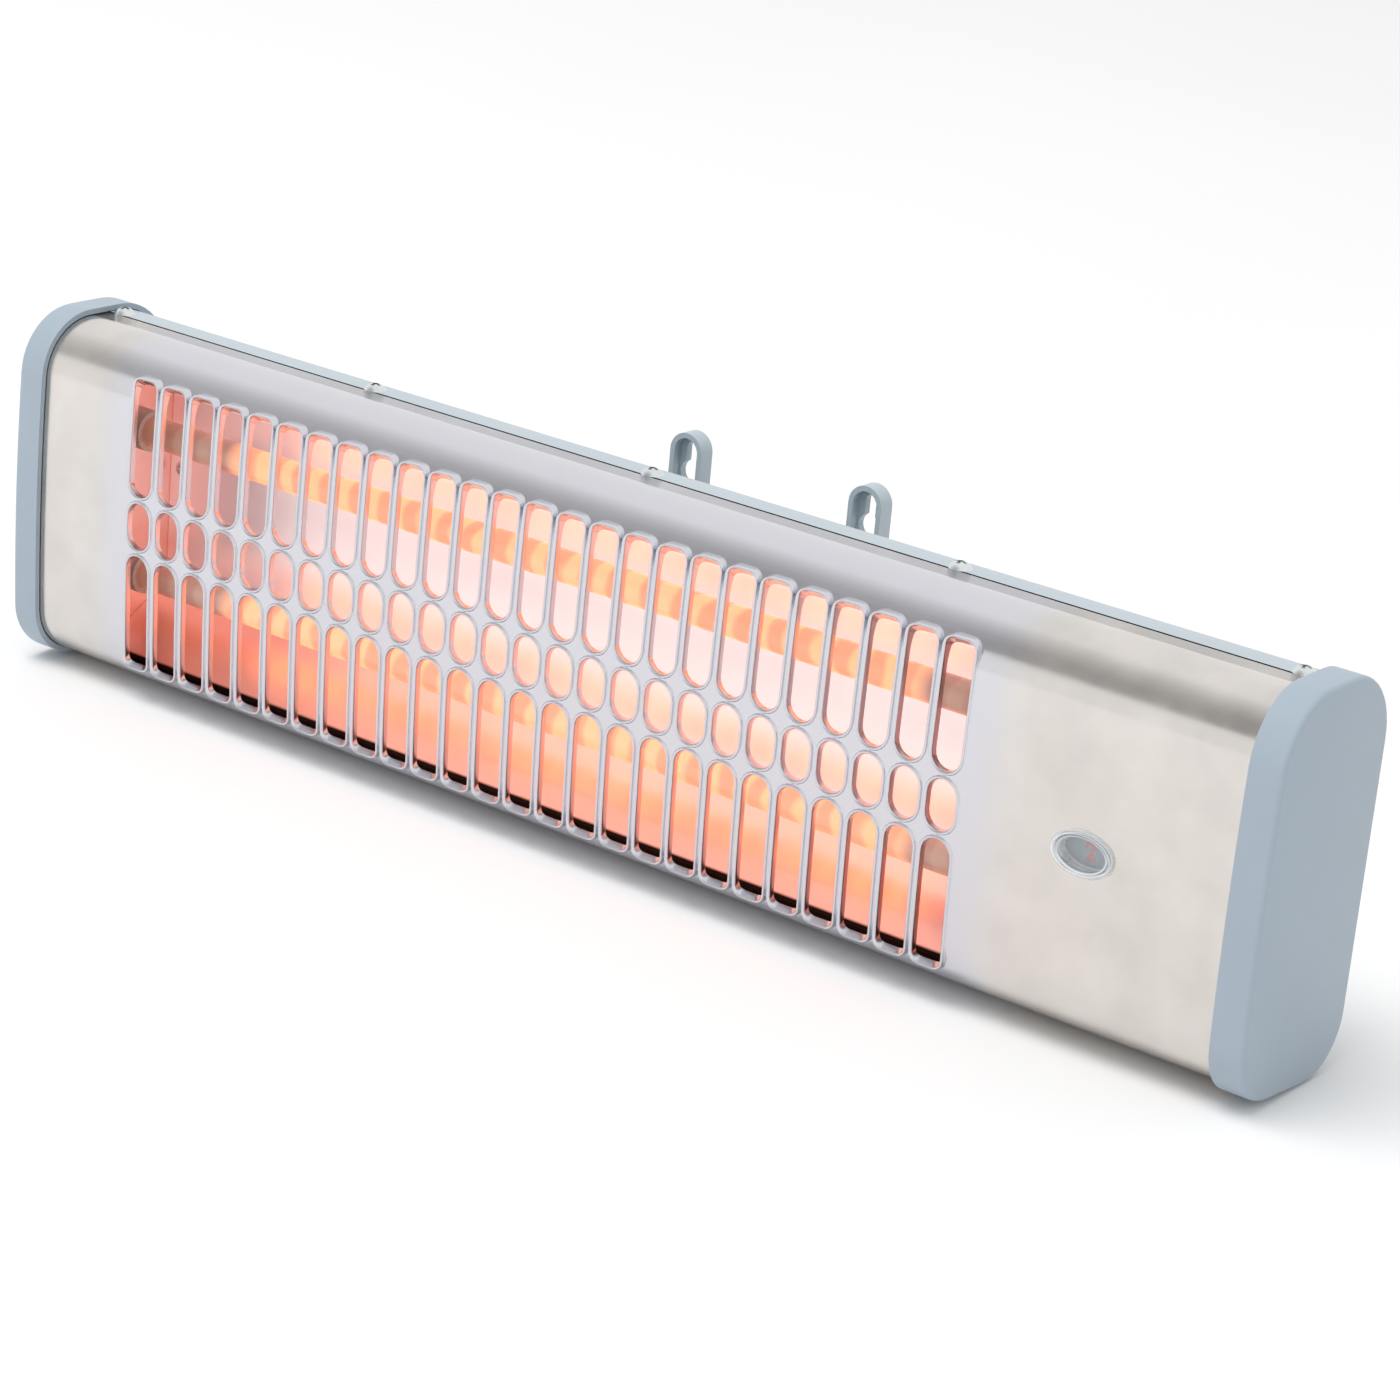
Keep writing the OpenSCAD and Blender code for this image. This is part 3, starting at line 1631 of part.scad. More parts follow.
front_panel();
rear_housing();
left_end_cap();
right_end_cap();
reflector();
left_side_plate();
right_side_plate();
upper_quartz_tube();
lower_quartz_tube();
upper_heating_coil();
lower_heating_coil();
upper_left_ceramic();
upper_right_ceramic();
lower_left_ceramic();
lower_right_ceramic();
terminal_studs();
stud_nuts();
ring_terminals();
left_link_lead();
return_lead();
upper_lead();
lower_lead();
cutout_lead();
switch_lead();
earth_lead();
thermal_cutout();
cutout_clamp();
cutout_screws();
terminal_block();
terminal_screws();
pull_switch_body();
switch_bracket();
switch_screws();
dial_spindle();
number_dial();
pull_lever();
lever_spring();
indicator_window();
window_retainer();
pull_cord_bush();
supply_cord_bush();
earth_stud();
earth_nut();
top_screws();
bottom_screws();
end_cap_screws();
side_plate_screws();
reflector_screws();
tilt_bracket();
tilt_bracket_screws();
wall_bracket();
pivot_screws();
friction_washers();
pivot_nuts();
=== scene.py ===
"""Looks of a wall-mounted electric bar heater, built round its packed CAD frame."""

import json
import math

import bmesh
import bpy
from bpy.props import FloatProperty, FloatVectorProperty, IntProperty, PointerProperty
from mathutils import Matrix, Vector


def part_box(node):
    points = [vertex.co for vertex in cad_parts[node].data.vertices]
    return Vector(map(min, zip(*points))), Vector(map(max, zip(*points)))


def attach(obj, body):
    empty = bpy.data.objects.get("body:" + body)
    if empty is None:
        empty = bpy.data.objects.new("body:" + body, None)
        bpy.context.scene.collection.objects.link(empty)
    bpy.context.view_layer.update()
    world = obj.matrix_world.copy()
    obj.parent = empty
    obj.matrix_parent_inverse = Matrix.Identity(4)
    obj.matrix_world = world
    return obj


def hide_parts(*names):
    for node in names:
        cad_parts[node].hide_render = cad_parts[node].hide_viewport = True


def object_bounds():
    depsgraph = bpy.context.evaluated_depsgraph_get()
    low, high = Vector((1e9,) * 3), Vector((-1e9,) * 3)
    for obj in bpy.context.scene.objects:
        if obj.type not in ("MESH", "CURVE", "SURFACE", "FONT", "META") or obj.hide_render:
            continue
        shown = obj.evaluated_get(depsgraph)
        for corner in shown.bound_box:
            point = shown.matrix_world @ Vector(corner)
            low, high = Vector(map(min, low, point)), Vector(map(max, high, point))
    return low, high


bl_info = {
    "name": "Bar heater looks",
    "version": (1, 0, 0),
    "blender": (4, 5, 0),
    "location": "View3D > Sidebar > Bar heater",
    "description": "Builds the visible pieces and finishes of a bar heater on its CAD frame",
    "category": "Object",
}

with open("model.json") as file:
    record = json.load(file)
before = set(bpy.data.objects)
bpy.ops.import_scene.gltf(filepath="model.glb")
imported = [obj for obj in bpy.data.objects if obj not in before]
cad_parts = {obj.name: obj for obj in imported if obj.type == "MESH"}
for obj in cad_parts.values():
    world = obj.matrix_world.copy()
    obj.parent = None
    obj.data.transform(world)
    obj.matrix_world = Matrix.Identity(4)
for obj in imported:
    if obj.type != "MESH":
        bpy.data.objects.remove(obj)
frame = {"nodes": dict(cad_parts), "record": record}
cad_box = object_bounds()
MM = 0.001
ORIGIN = (0, 0, 0)

# Steps of the arcs in each piece's section, and of its rounded corners and edges
PANEL_BEND, PANEL_BOW = 14, 6
CAP_BEND, CAP_BOW, CAP_EDGE = 12, 10, 5
HOUSING_BEND = 14
SLOT_CORNER, WINDOW_END, SHEET_CORNER = 5, 8, 1

# Nearly all values of a noise lie between these two
NOISE_LOW, NOISE_HIGH = 0.3, 0.7
METAL_RELIEF, MOULDED_RELIEF = 0.02 * MM, 0.05 * MM

# How far past the coils the reflector and the side plates carry the tubes' painted light, and where
# it fades
REFLECTOR_LIT, PLATE_LIT, LIGHT_FADE = 0.09, 0.16, 0.1

# The colour sockets of a Mix node share their names with others, so they go by number
MIX_A, MIX_B, MIX_RESULT = 6, 7, 2

# Sizes that the CAD frame gives
housing_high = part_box("rear_housing")[1]
left_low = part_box("left_end_cap")[0]
right_low, right_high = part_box("right_end_cap")
tube_low, tube_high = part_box("upper_quartz_tube")
lower_tube_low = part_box("lower_quartz_tube")[0]
coil_low, coil_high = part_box("upper_heating_coil")
reflector_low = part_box("reflector")[0]
dial_low, dial_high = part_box("number_dial")
window_low, window_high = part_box("indicator_window")
window_centre = (window_low + window_high) / 2
grille_x = (tube_low.x + tube_high.x) / 2
half_heater = (right_high.x - left_low.x) / 2


def shade(code):
    """Linear colour of an sRGB hex value, with alpha 1."""
    parts = [int(code[i : i + 2], 16) / 255 for i in (1, 3, 5)]
    return (*[c / 12.92 if c <= 0.04045 else ((c + 0.055) / 1.055) ** 2.4 for c in parts], 1.0)


def setting(kind, read=float, **looks):
    """Gives what makes a setting of one kind from its name, its default and its description."""

    def make(name, default, description):
        return kind(name=name, default=read(default), description=description, **looks)

    return make


length_property = setting(FloatProperty, unit="LENGTH", precision=5)
number_property = setting(FloatProperty, min=0)
angle_property = setting(FloatProperty, math.radians, subtype="ANGLE")
colour_property = setting(
    FloatVectorProperty, lambda code: shade(code)[:3], subtype="COLOR", min=0, max=1
)


class BodySettings(bpy.types.PropertyGroup):
    """Sizes and colours of the body, its front panel and its end caps."""

    depth: length_property("Depth", 0.061, "From the front edges to the back of the housing")
    top: length_property("Top", 0.0675, "Height of the top above the middle of the grille")
    bottom: length_property("Bottom", 0.065, "Depth of the front bottom edge below that middle")
    drop: length_property("Drop", 0.005, "How much lower the bottom lies at the back")
    bow: length_property("Bow", 0.002, "Bulge of the front at its middle")
    front_top_bend: length_property("Front top bend", 0.022, "Radius at the front top")
    front_bottom_bend: length_property("Front bottom bend", 0.020, "Radius at the front bottom")
    back_top_bend: length_property("Back top bend", 0.024, "Radius at the back top")
    back_bottom_bend: length_property("Back bottom bend", 0.018, "Radius at the back bottom")
    seam: length_property("Seam", 0.0305, "Depth at which the front panel ends")
    seam_gap: length_property("Seam gap", 0.0012, "Open width of the seam")
    panel_sheet: length_property("Panel sheet", 0.00048, "Drawn thickness of the front panel")
    housing_sheet: length_property("Housing sheet", 0.001, "Thickness of the housing")
    cap_wall: length_property("Cap wall", 0.0021, "Wall of an end cap")
    cap_room: length_property("Cap room", 0.0003, "Clearance between cap and body")
    cap_edge: length_property("Cap edge", 0.0019, "Rounding of a cap's outer edge")
    steel: colour_property("Panel steel", "#D9D4CF", "Colour of the stainless front panel")
    grille_tone: colour_property("Grille tone", "#D5D5DB", "Colour of the panel round the warm grille")
    paint: colour_property("Paint", "#B4C0C7", "Colour of the painted housing and brackets")
    plastic: colour_property("Cap plastic", "#A2B0BC", "Colour of the end caps")


class GrilleSettings(bpy.types.PropertyGroup):
    """Sizes of the slots pressed into the front panel."""

    columns: IntProperty(name="Columns", description="Slot columns", default=26, min=1, max=40)
    pitch: length_property("Pitch", 0.0148, "From one slot to the next")
    width: length_property("Width", 0.0112, "Clear width of a slot")
    long_height: length_property("Long height", 0.0448, "Height of the upper and lower slots")
    short_height: length_property("Short height", 0.0178, "Height of the middle slots")
    bar: length_property("Bar", 0.0031, "Bar between two rows")
    corner: length_property("Corner", 0.003, "Corner radius at the outer ends")
    lip_reach: length_property("Lip reach", 0.0015, "Width of the rolled lip round a slot")
    lip_proud: length_property("Lip proud", 0.0008, "How far a lip stands out of the panel")
    lip_depth: length_property("Lip depth", 0.0022, "How far a lip turns inwards")


class ElementSettings(bpy.types.PropertyGroup):
    """Glow of the quartz tubes, and the light that they throw on what is near them, painted there
    as glow.
    """

    glow: number_property("Glow", 1.15, "Strength of the tubes' light")
    fade: length_property("Fade", 0.012, "Length over which the glow ends")
    swell: length_property("Swell", 0.0138, "Distance from one brighter stretch to the next")
    hot: colour_property("Hot", "#FF9650", "Colour of a tube's brightest stretches")
    warm: colour_property("Warm", "#FF7038", "Colour of a tube's duller stretches")
    cold: colour_property("Cold", "#CDB9B0", "Colour of the milky quartz where it isn't heated")
    wash: colour_property("Wash", "#FFE4E8", "Colour of the light that the reflector throws back")
    glare: colour_property("Glare", "#FF6A4A", "Colour of the light below and beside the tubes")
    wash_level: number_property("Wash level", 0.3, "Strength of the light near the tubes")


class DialSettings(bpy.types.PropertyGroup):
    """Sizes and colours of the indicator window and its number dial."""

    half_length: length_property("Window half length", 0.0106, "Half length of the opening")
    half_height: length_property("Window half height", 0.0066, "Half height of the opening")
    end_radius: length_property("Window end radius", 0.0046, "End radius of the oval")
    rim: length_property("Rim", 0.0015, "Width of the window's rim on the panel")
    number_size: length_property("Number size", 0.0062, "Height of the dial's numbers")
    number_radius: length_property("Number radius", 0.0077, "From the axis to the numbers")
    number_bold: length_property("Number bold", 0.00022, "How much wider the strokes are drawn")
    number_lean: angle_property("Number lean", 5, "How far the first number stands left of the top")
    face: colour_property("Dial", "#93A2AD", "Colour of the dial")
    numbers: colour_property("Numbers", "#DB5E42", "Colour of the printed numbers")


class StudioSettings(bpy.types.PropertyGroup):
    """Plain studio light and the camera."""

    ambient: number_property("Ambient", 0.72, "Light from all round")
    key: number_property("Key lamp", 115, "Power of the large lamp in watts")
    distance: length_property("Camera distance", 1.3302, "From the camera to its target")
    azimuth: angle_property("Azimuth", 36.06, "Camera's turn to the right")
    elevation: angle_property("Elevation", 19.57, "Camera's height angle")
    roll: angle_property("Roll", 5.21, "Camera's roll")
    lens: number_property("Lens", 100.44, "Focal length in millimetres")


def heater_origin(body):
    """World place of the middle of the grille, on the line between the body's front edges."""
    return Vector((0, housing_high.y - body.depth, housing_high.z - body.top))


def half_sheet(body):
    """Half length of the front panel and the housing, which end inside the caps."""
    return half_heater - body.cap_wall - body.cap_room


# ---- body outline


def facing(angle):
    """Direction that turns from the room, at 0, to straight up at a quarter turn."""
    return Vector((-math.cos(angle), math.sin(angle)))


def turn_of(way):
    """Angle at which facing gives this direction."""
    return math.atan2(way.y, -way.x)


def body_bends(body):
    """Centre and radius of each bend, in depth and height, and the bottom's slope."""
    middle = (body.top - body.bottom) / 2
    half = (body.top + body.bottom) / 2
    bow_r = (half**2 + body.bow**2) / (2 * body.bow)
    bow_c = Vector((bow_r - body.bow, middle))
    run = Vector((body.depth, -body.drop)).normalized()
    down = Vector((run.y, -run.x))

    def front(edge, way, out, r):
        q = edge - r * out - bow_c
        b = q.dot(way)
        return edge - r * out + (-b - math.sqrt(b * b - q.dot(q) + (bow_r - r) ** 2)) * way, r

    def back(edge, way, out, r):
        q = edge - r * out
        return q + way * ((body.depth - r - q.x) / way.x), r

    top, bottom = Vector((0, body.top)), Vector((0, -body.bottom))
    ahead, up = Vector((1, 0)), Vector((0, 1))
    return {
        "bow": (bow_c, bow_r),
        "front_top": front(top, ahead, up, body.front_top_bend),
        "back_top": back(top, ahead, up, body.back_top_bend),
        "back_bottom": back(bottom, run, down, body.back_bottom_bend),
        "front_bottom": front(bottom, run, down, body.front_bottom_bend),
        "down": down,
        "run": run,
    }


def panel_legs(body):
    """Legs of the front panel's section, upwards and downwards from the middle of the grille.

    Each leg is its length, the number of its steps, and what gives the place and the outward
    direction at a distance along it.
    """
    bends = body_bends(body)
    bow_c, bow_r = bends["bow"]
    start = math.asin(-bow_c.y / bow_r)
    step_in = body.housing_sheet + 0.1 * MM

    def arc(centre, r, first, last, steps):
        sign = 1 if last > first else -1

        def at(t):
            way = facing(first + sign * t / r)
            return centre + r * way, way

        return abs(last - first) * r, steps, at

    def straight(point, way, out, length):
        return length, 1, lambda t: (point + way * t, out)

    def side(centre, r, out, run):
        joint = turn_of(centre - bow_c)
        level = centre + r * out
        reach = (body.seam - level.x) / run.x
        return [
            arc(bow_c, bow_r, start, joint, PANEL_BOW),
            arc(centre, r, joint, turn_of(out), PANEL_BEND),
            straight(level, run, out, reach),
            straight(level + reach * run, -out, run, step_in),
        ]

    return (
        side(*bends["front_top"], Vector((0, 1)), Vector((1, 0))),
        side(*bends["front_bottom"], bends["down"], bends["run"]),
    )


def along_panel(legs, v):
    """Place and outward direction at the distance v along the panel's section."""
    rest = abs(v)
    *firsts, last = legs[0] if v >= 0 else legs[1]
    for length, _, at in firsts:
        if rest <= length:
            return at(rest)
        rest -= length
    return last[2](rest)


def panel_distance(legs, height):
    """Distance along the section at which the front reaches a height, found by halving."""
    sign = 1 if height >= 0 else -1
    low, high = 0, sum(leg[0] for leg in legs[0][:2])
    for _ in range(40):
        mid = (low + high) / 2
        if sign * along_panel(legs, sign * mid)[0].y < sign * height:
            low = mid
        else:
            high = mid
    return sign * low


# ---- making pieces


def vertices(geom):
    """The vertices among what a bmesh operator gives back."""
    return [g for g in geom if isinstance(g, bmesh.types.BMVert)]


def spin(bm, start, centre, axis, angle, steps):
    """Spins a vertex into an arc and gives back the arc's last vertex."""
    spun = bmesh.ops.spin(
        bm, geom=[start], cent=centre, axis=axis, angle=angle, steps=steps, use_duplicate=False
    )
    return vertices(spun["geom_last"])[0]


def drawn_out(bm, edges, x):
    """Extrudes edges along X into a wall."""
    wall = bmesh.ops.extrude_edge_only(bm, edges=edges)["geom"]
    bmesh.ops.translate(bm, verts=vertices(wall), vec=(x, 0, 0))


def face_outwards(bm, way):
    """Turns an open shell's faces outwards: the face farthest along a direction shows it."""
    bmesh.ops.recalc_face_normals(bm, faces=bm.faces[:])
    outer = max(bm.faces, key=lambda face: face.calc_center_median().dot(way))
    if outer.normal.dot(way) < 0:
        bmesh.ops.reverse_faces(bm, faces=bm.faces[:])


def stepped(bm, face, inwards, rise):
    """Insets a face, or extrudes it where the step is upright, and gives back the moved face."""
    if inwards > 0.001 * MM:
        bmesh.ops.inset_individual(
            bm, faces=[face], thickness=inwards, depth=rise, use_even_offset=True
        )
        return face
    way = face.normal * rise
    face = bmesh.ops.extrude_discrete_faces(bm, faces=[face])["faces"][0]
    bmesh.ops.translate(bm, verts=face.verts[:], vec=way)
    return face


def object_from(bm, name, finish):
    """Object at the origin with the bmesh as its mesh."""
    mesh = bpy.data.meshes.new(name)
    bm.to_mesh(mesh)
    bm.free()
    mesh.materials.append(finish)
    made = bpy.data.objects.new(name, mesh)
    bpy.context.scene.collection.objects.link(made)
    return made


def finish_piece(bm, name, body_name, slot, replaced=(), crease=60, finish=None):
    """Makes the bmesh a piece under the empty of a body, smooth but for its sharp edges."""
    for face in bm.faces:
        face.smooth = True
    for edge in bm.edges:
        if len(edge.link_faces) != 2 or edge.calc_face_angle() > math.radians(crease):
            edge.smooth = False
    piece = object_from(bm, name, ready_finishes()[finish or slot])
    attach(piece, body_name)
    if replaced:
        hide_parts(*replaced)
    return piece


def thicken(piece, thickness):
    """Gives a sheet its thickness, on its inner side."""
    wall = piece.modifiers.new("Sheet", "SOLIDIFY")
    wall.thickness = thickness
    wall.offset = -1
    wall.use_quality_normals = True
    return wall


def bevelled(bm, geom, offset, segments, affect):
    """Rounds vertices or edges."""
    shape = {"offset_type": "OFFSET", "profile": 0.5, "material": -1}
    bmesh.ops.bevel(bm, geom=geom, offset=offset, segments=segments, affect=affect, **shape)


def rounded_face(bm, x0, x1, y0, y1, low_r, high_r, segments):
    """Flat face with its two lower and two upper corners rounded."""
    apart, joined = 0.01 * MM, 0.05 * MM
    before = set(bm.faces)
    corners = [bm.verts.new((x, y, 0)) for x, y in ((x0, y0), (x1, y0), (x1, y1), (x0, y1))]
    bm.faces.new(corners)
    for pair, r in ((corners[:2], low_r), (corners[2:], high_r)):
        bevelled(bm, pair, min(r, (x1 - x0) / 2 - apart), segments, "VERTICES")
    face = next(f for f in bm.faces if f not in before)
    bmesh.ops.remove_doubles(bm, verts=face.verts[:], dist=joined)
    return next(f for f in bm.faces if f not in before)


def bare_outline(bm, x, half_x, low, high, r, segments):
    """Rounded outline about an X, with nothing inside it."""
    face = rounded_face(bm, x - half_x, x + half_x, low, high, r, r, segments)
    bmesh.ops.delete(bm, geom=[face], context="FACES_ONLY")


def lip_rings(grille):
    """Section of a slot's rolled lip, from the sheet over its crest and down its inner wall.

    Each ring is its distance outside the slot, its height over the sheet, and the share of the
    front's bow that it follows where the sheet bends away. The first two go by the lip's size.
    """
    shares = (
        (1, 0, 0), (0.92, 0.14, 0.15), (0.83, 0.5, 0.52), (0.74, 0.84, 0.86), (0.63, 1, 1),
        (0.48, 0.97, 1), (0.32, 0.76, 1), (0.17, 0.4, 1), (0.05, -0.1, 1), (0, -0.7, 1),
    )
    rings = [(out * grille.lip_reach, up * grille.lip_proud, bow) for out, up, bow in shares]
    return [*rings, (0, -grille.lip_depth, 1)]


def pressed_slot(bm, share, grille, x, low, high, low_r, high_r):
    """Slot with a rolled lip: a rounded face inset ring by ring, then opened."""
    rings = lip_rings(grille)
    reach = rings[0][0]
    half = grille.width / 2 + reach
    sizes = (x - half, x + half, low - reach, high + reach, low_r + reach, high_r + reach)
    face = rounded_face(bm, *sizes, SLOT_CORNER)
    if face.normal.z < 0:
        face.normal_flip()
    for before, ring in zip(rings, rings[1:]):
        face = stepped(bm, face, before[0] - ring[0], ring[1] - before[1])
        for vert in face.verts:
            vert[share] = ring[2]
    bmesh.ops.delete(bm, geom=[face], context="FACES_ONLY")


def press_slots(bm, share, grille, legs):
    """One column of three slots, copied along the grille."""
    short = grille.short_height / 2
    start = short + grille.bar
    end = start + grille.long_height
    round_r = grille.width / 2
    first_x = grille_x - (grille.columns - 1) / 2 * grille.pitch
    rows = (
        (panel_distance(legs, start), panel_distance(legs, end), round_r, grille.corner),
        (-short, short, round_r, round_r),
        (panel_distance(legs, -end), panel_distance(legs, -start), grille.corner, round_r),
    )
    for row in rows:
        pressed_slot(bm, share, grille, first_x, *row)
    column = bm.verts[:] + bm.edges[:] + bm.faces[:]
    for i in range(1, grille.columns):
        copy = bmesh.ops.duplicate(bm, geom=column)["geom"]
        bmesh.ops.translate(bm, verts=vertices(copy), vec=(i * grille.pitch, 0, 0))


def is_flat(element):
    """Whether all vertices of an edge or a face lie in the sheet as it is before bending."""
    return all(abs(v.co.z) < 1e-6 for v in element.verts)


def fill_sheet(bm, legs):
    """Fills what the openings leave, cuts it where it will bend, and creases the lips' bases."""
    rims = [e for e in bm.edges if len(e.link_faces) < 2 and is_flat(e)]
    bmesh.ops.triangle_fill(bm, use_beauty=True, use_dissolve=False, edges=rims, normal=(0, 0, 1))
    for chain, sign in ((legs[0], 1), (legs[1], -1)):
        at = 0
        for length, steps, _ in chain:
            for i in range(1, steps + 1):
                bmesh.ops.bisect_plane(
                    bm,
                    geom=bm.verts[:] + bm.edges[:] + bm.faces[:],
                    dist=1e-6,
                    plane_co=(0, sign * (at + length * i / steps), 0),
                    plane_no=(0, 1, 0),
                )
            at += length
    for edge in bm.edges:
        if len(edge.link_faces) == 2 and is_flat(edge):
            if not all(is_flat(face) for face in edge.link_faces):
                edge.smooth = False


def bend_sheet(bm, share, body, grille, legs):
    """Bends the flat sheet over the body. The lips follow the bow, not the sheet's bends."""
    origin = heater_origin(body)
    bow_c, bow_r = body_bends(body)["bow"]
    for vert in bm.verts:
        x, v, lift = vert.co
        place, out = along_panel(legs, v)
        follows = vert[share]
        if follows > 0:
            bow_y = bow_c.x - math.sqrt(bow_r**2 - (place.y - bow_c.y) ** 2)
            on_bow = Vector((bow_y, place.y))
            if lift < -grille.lip_proud and v > 0:
                # At the top an inner wall still reaches behind the bend
                lift -= place.x - bow_y
            elif lift > 0:
                out = out.lerp((on_bow - bow_c).normalized(), follows).normalized()
            place = place.lerp(on_bow, follows)
        place = place + lift * out
        vert.co = origin + Vector((x, place.x, place.y))


def front_panel(body, grille, dial):
    """Front panel: one sheet with its pressed slots, made flat and then bent over the body."""
    legs = panel_legs(body)
    bm = bmesh.new()
    share = bm.verts.layers.float.new("lip")
    press_slots(bm, share, grille, legs)
    half = dial.half_height
    bare_outline(bm, window_centre.x, dial.half_length, -half, half, half, WINDOW_END)
    top, bottom = (sum(leg[0] for leg in chain) for chain in legs)
    bare_outline(bm, 0, half_sheet(body), -bottom, top, 0.2 * MM, SHEET_CORNER)
    fill_sheet(bm, legs)
    bend_sheet(bm, share, body, grille, legs)
    piece = finish_piece(
        bm, "stainless_front_panel", "heater", "stainless_panel", ("front_panel",), 50
    )
    thicken(piece, body.panel_sheet)


def housing_shell(body):
    """Painted housing: its section is spun bend by bend and drawn out along the heater."""
    bends = body_bends(body)
    origin = heater_origin(body)
    back_c, _ = bends["back_top"]
    base_c, base_r = bends["back_bottom"]
    seam = body.seam + body.seam_gap
    run = bends["run"]
    low_flat = base_c + base_r * bends["down"]
    # A line close to each bend keeps its shading off the flats
    support = 0.6 * MM
    bm = bmesh.new()

    def place(flat):
        return (-half_sheet(body), origin.y + flat.x, origin.z + flat.y)

    def bend(start, centre, angle):
        return spin(bm, start, place(centre), (1, 0, 0), angle, HOUSING_BEND)

    top, near_bend, at_bend = (
        bm.verts.new(place(Vector((x, body.top)))) for x in (seam, back_c.x - support, back_c.x)
    )
    back_high, back_low, low_bend = (
        bm.verts.new(place(Vector((body.depth, z))))
        for z in (back_c.y - support, base_c.y + support, base_c.y)
    )
    under, end = (
        bm.verts.new(place(low_flat - run * back))
        for back in (support, (low_flat.x - seam) / run.x)
    )
    after_top = bend(at_bend, back_c, -math.pi / 2)
    after_low = bend(low_bend, base_c, math.atan2(body.drop, body.depth) - math.pi / 2)
    for line in (
        (top, near_bend, at_bend),
        (after_top, back_high, back_low, low_bend),
        (after_low, under, end),
    ):
        for pair in zip(line, line[1:]):
            bm.edges.new(pair)
    drawn_out(bm, bm.edges[:], 2 * half_sheet(body))
    face_outwards(bm, Vector((0, 0, 1)))
    piece = finish_piece(bm, "painted_housing", "heater", "silver_paint", ("rear_housing",))
    # Its cut edges take a near-black finish, a painted shadow in the seam's gap
    piece.data.materials.append(ready_finishes()["seam_shadow_edge"])
    thicken(piece, body.housing_sheet).material_offset_rim = 1


def outline_face(bm, x, body, grow):
    """Closed face at x with the body's outline, grown outwards: each bend is one spun vertex."""
    bends = body_bends(body)
    origin = heater_origin(body)
    bow_c, _ = bends["bow"]
    top_joint = turn_of(bends["front_top"][0] - bow_c)
    low_joint = turn_of(bends["front_bottom"][0] - bow_c) + 2 * math.pi
    base = turn_of(bends["down"]) + 2 * math.pi
    arcs = (
        ("front_top", top_joint, math.pi / 2, CAP_BEND),
        ("back_top", math.pi / 2, math.pi, CAP_BEND),
        ("back_bottom", math.pi, base, CAP_BEND),
        ("front_bottom", base, low_joint, CAP_BEND),
        ("bow", low_joint, top_joint + 2 * math.pi, CAP_BOW),
    )
    ends = []
    for name, first, last, steps in arcs:
        centre, r = bends[name]
        place = origin.yz + centre + (r + grow) * facing(first)
        axle = (x, origin.y + centre.x, origin.z + centre.y)
        start = bm.verts.new((x, place.x, place.y))
        ends.append((start, spin(bm, start, axle, (1, 0, 0), first - last, steps)))
    for i, (_, last) in enumerate(ends):
        bm.edges.new((last, ends[(i + 1) % len(ends)][0]))
    bmesh.ops.remove_doubles(bm, verts=bm.verts[:], dist=0.01 * MM)
    bmesh.ops.contextual_create(bm, geom=bm.edges[:])


def end_cap(body, side):
    """End cap: the outline's face drawn into a rim, with a rounded outer edge and one wall."""
    bm = bmesh.new()
    outline_face(bm, side * half_heater, body, body.cap_room + body.cap_wall)
    outer_edges = bm.edges[:]
    drawn_out(bm, outer_edges, side * (right_low.x - right_high.x))
    bevelled(bm, outer_edges, body.cap_edge, CAP_EDGE, "EDGES")
    face_outwards(bm, Vector((side, 0, 0)))
    name = "left" if side < 0 else "right"
    piece = finish_piece(bm, f"{name}_cap_shell", "heater", "cap_plastic", (f"{name}_end_cap",))
    thicken(piece, body.cap_wall)
    edge = piece.modifiers.new("Rim edges", "BEVEL")
    edge.width = 0.35 * MM
    edge.segments = 2
    edge.limit_method = "ANGLE"
    edge.angle_limit = math.radians(60)


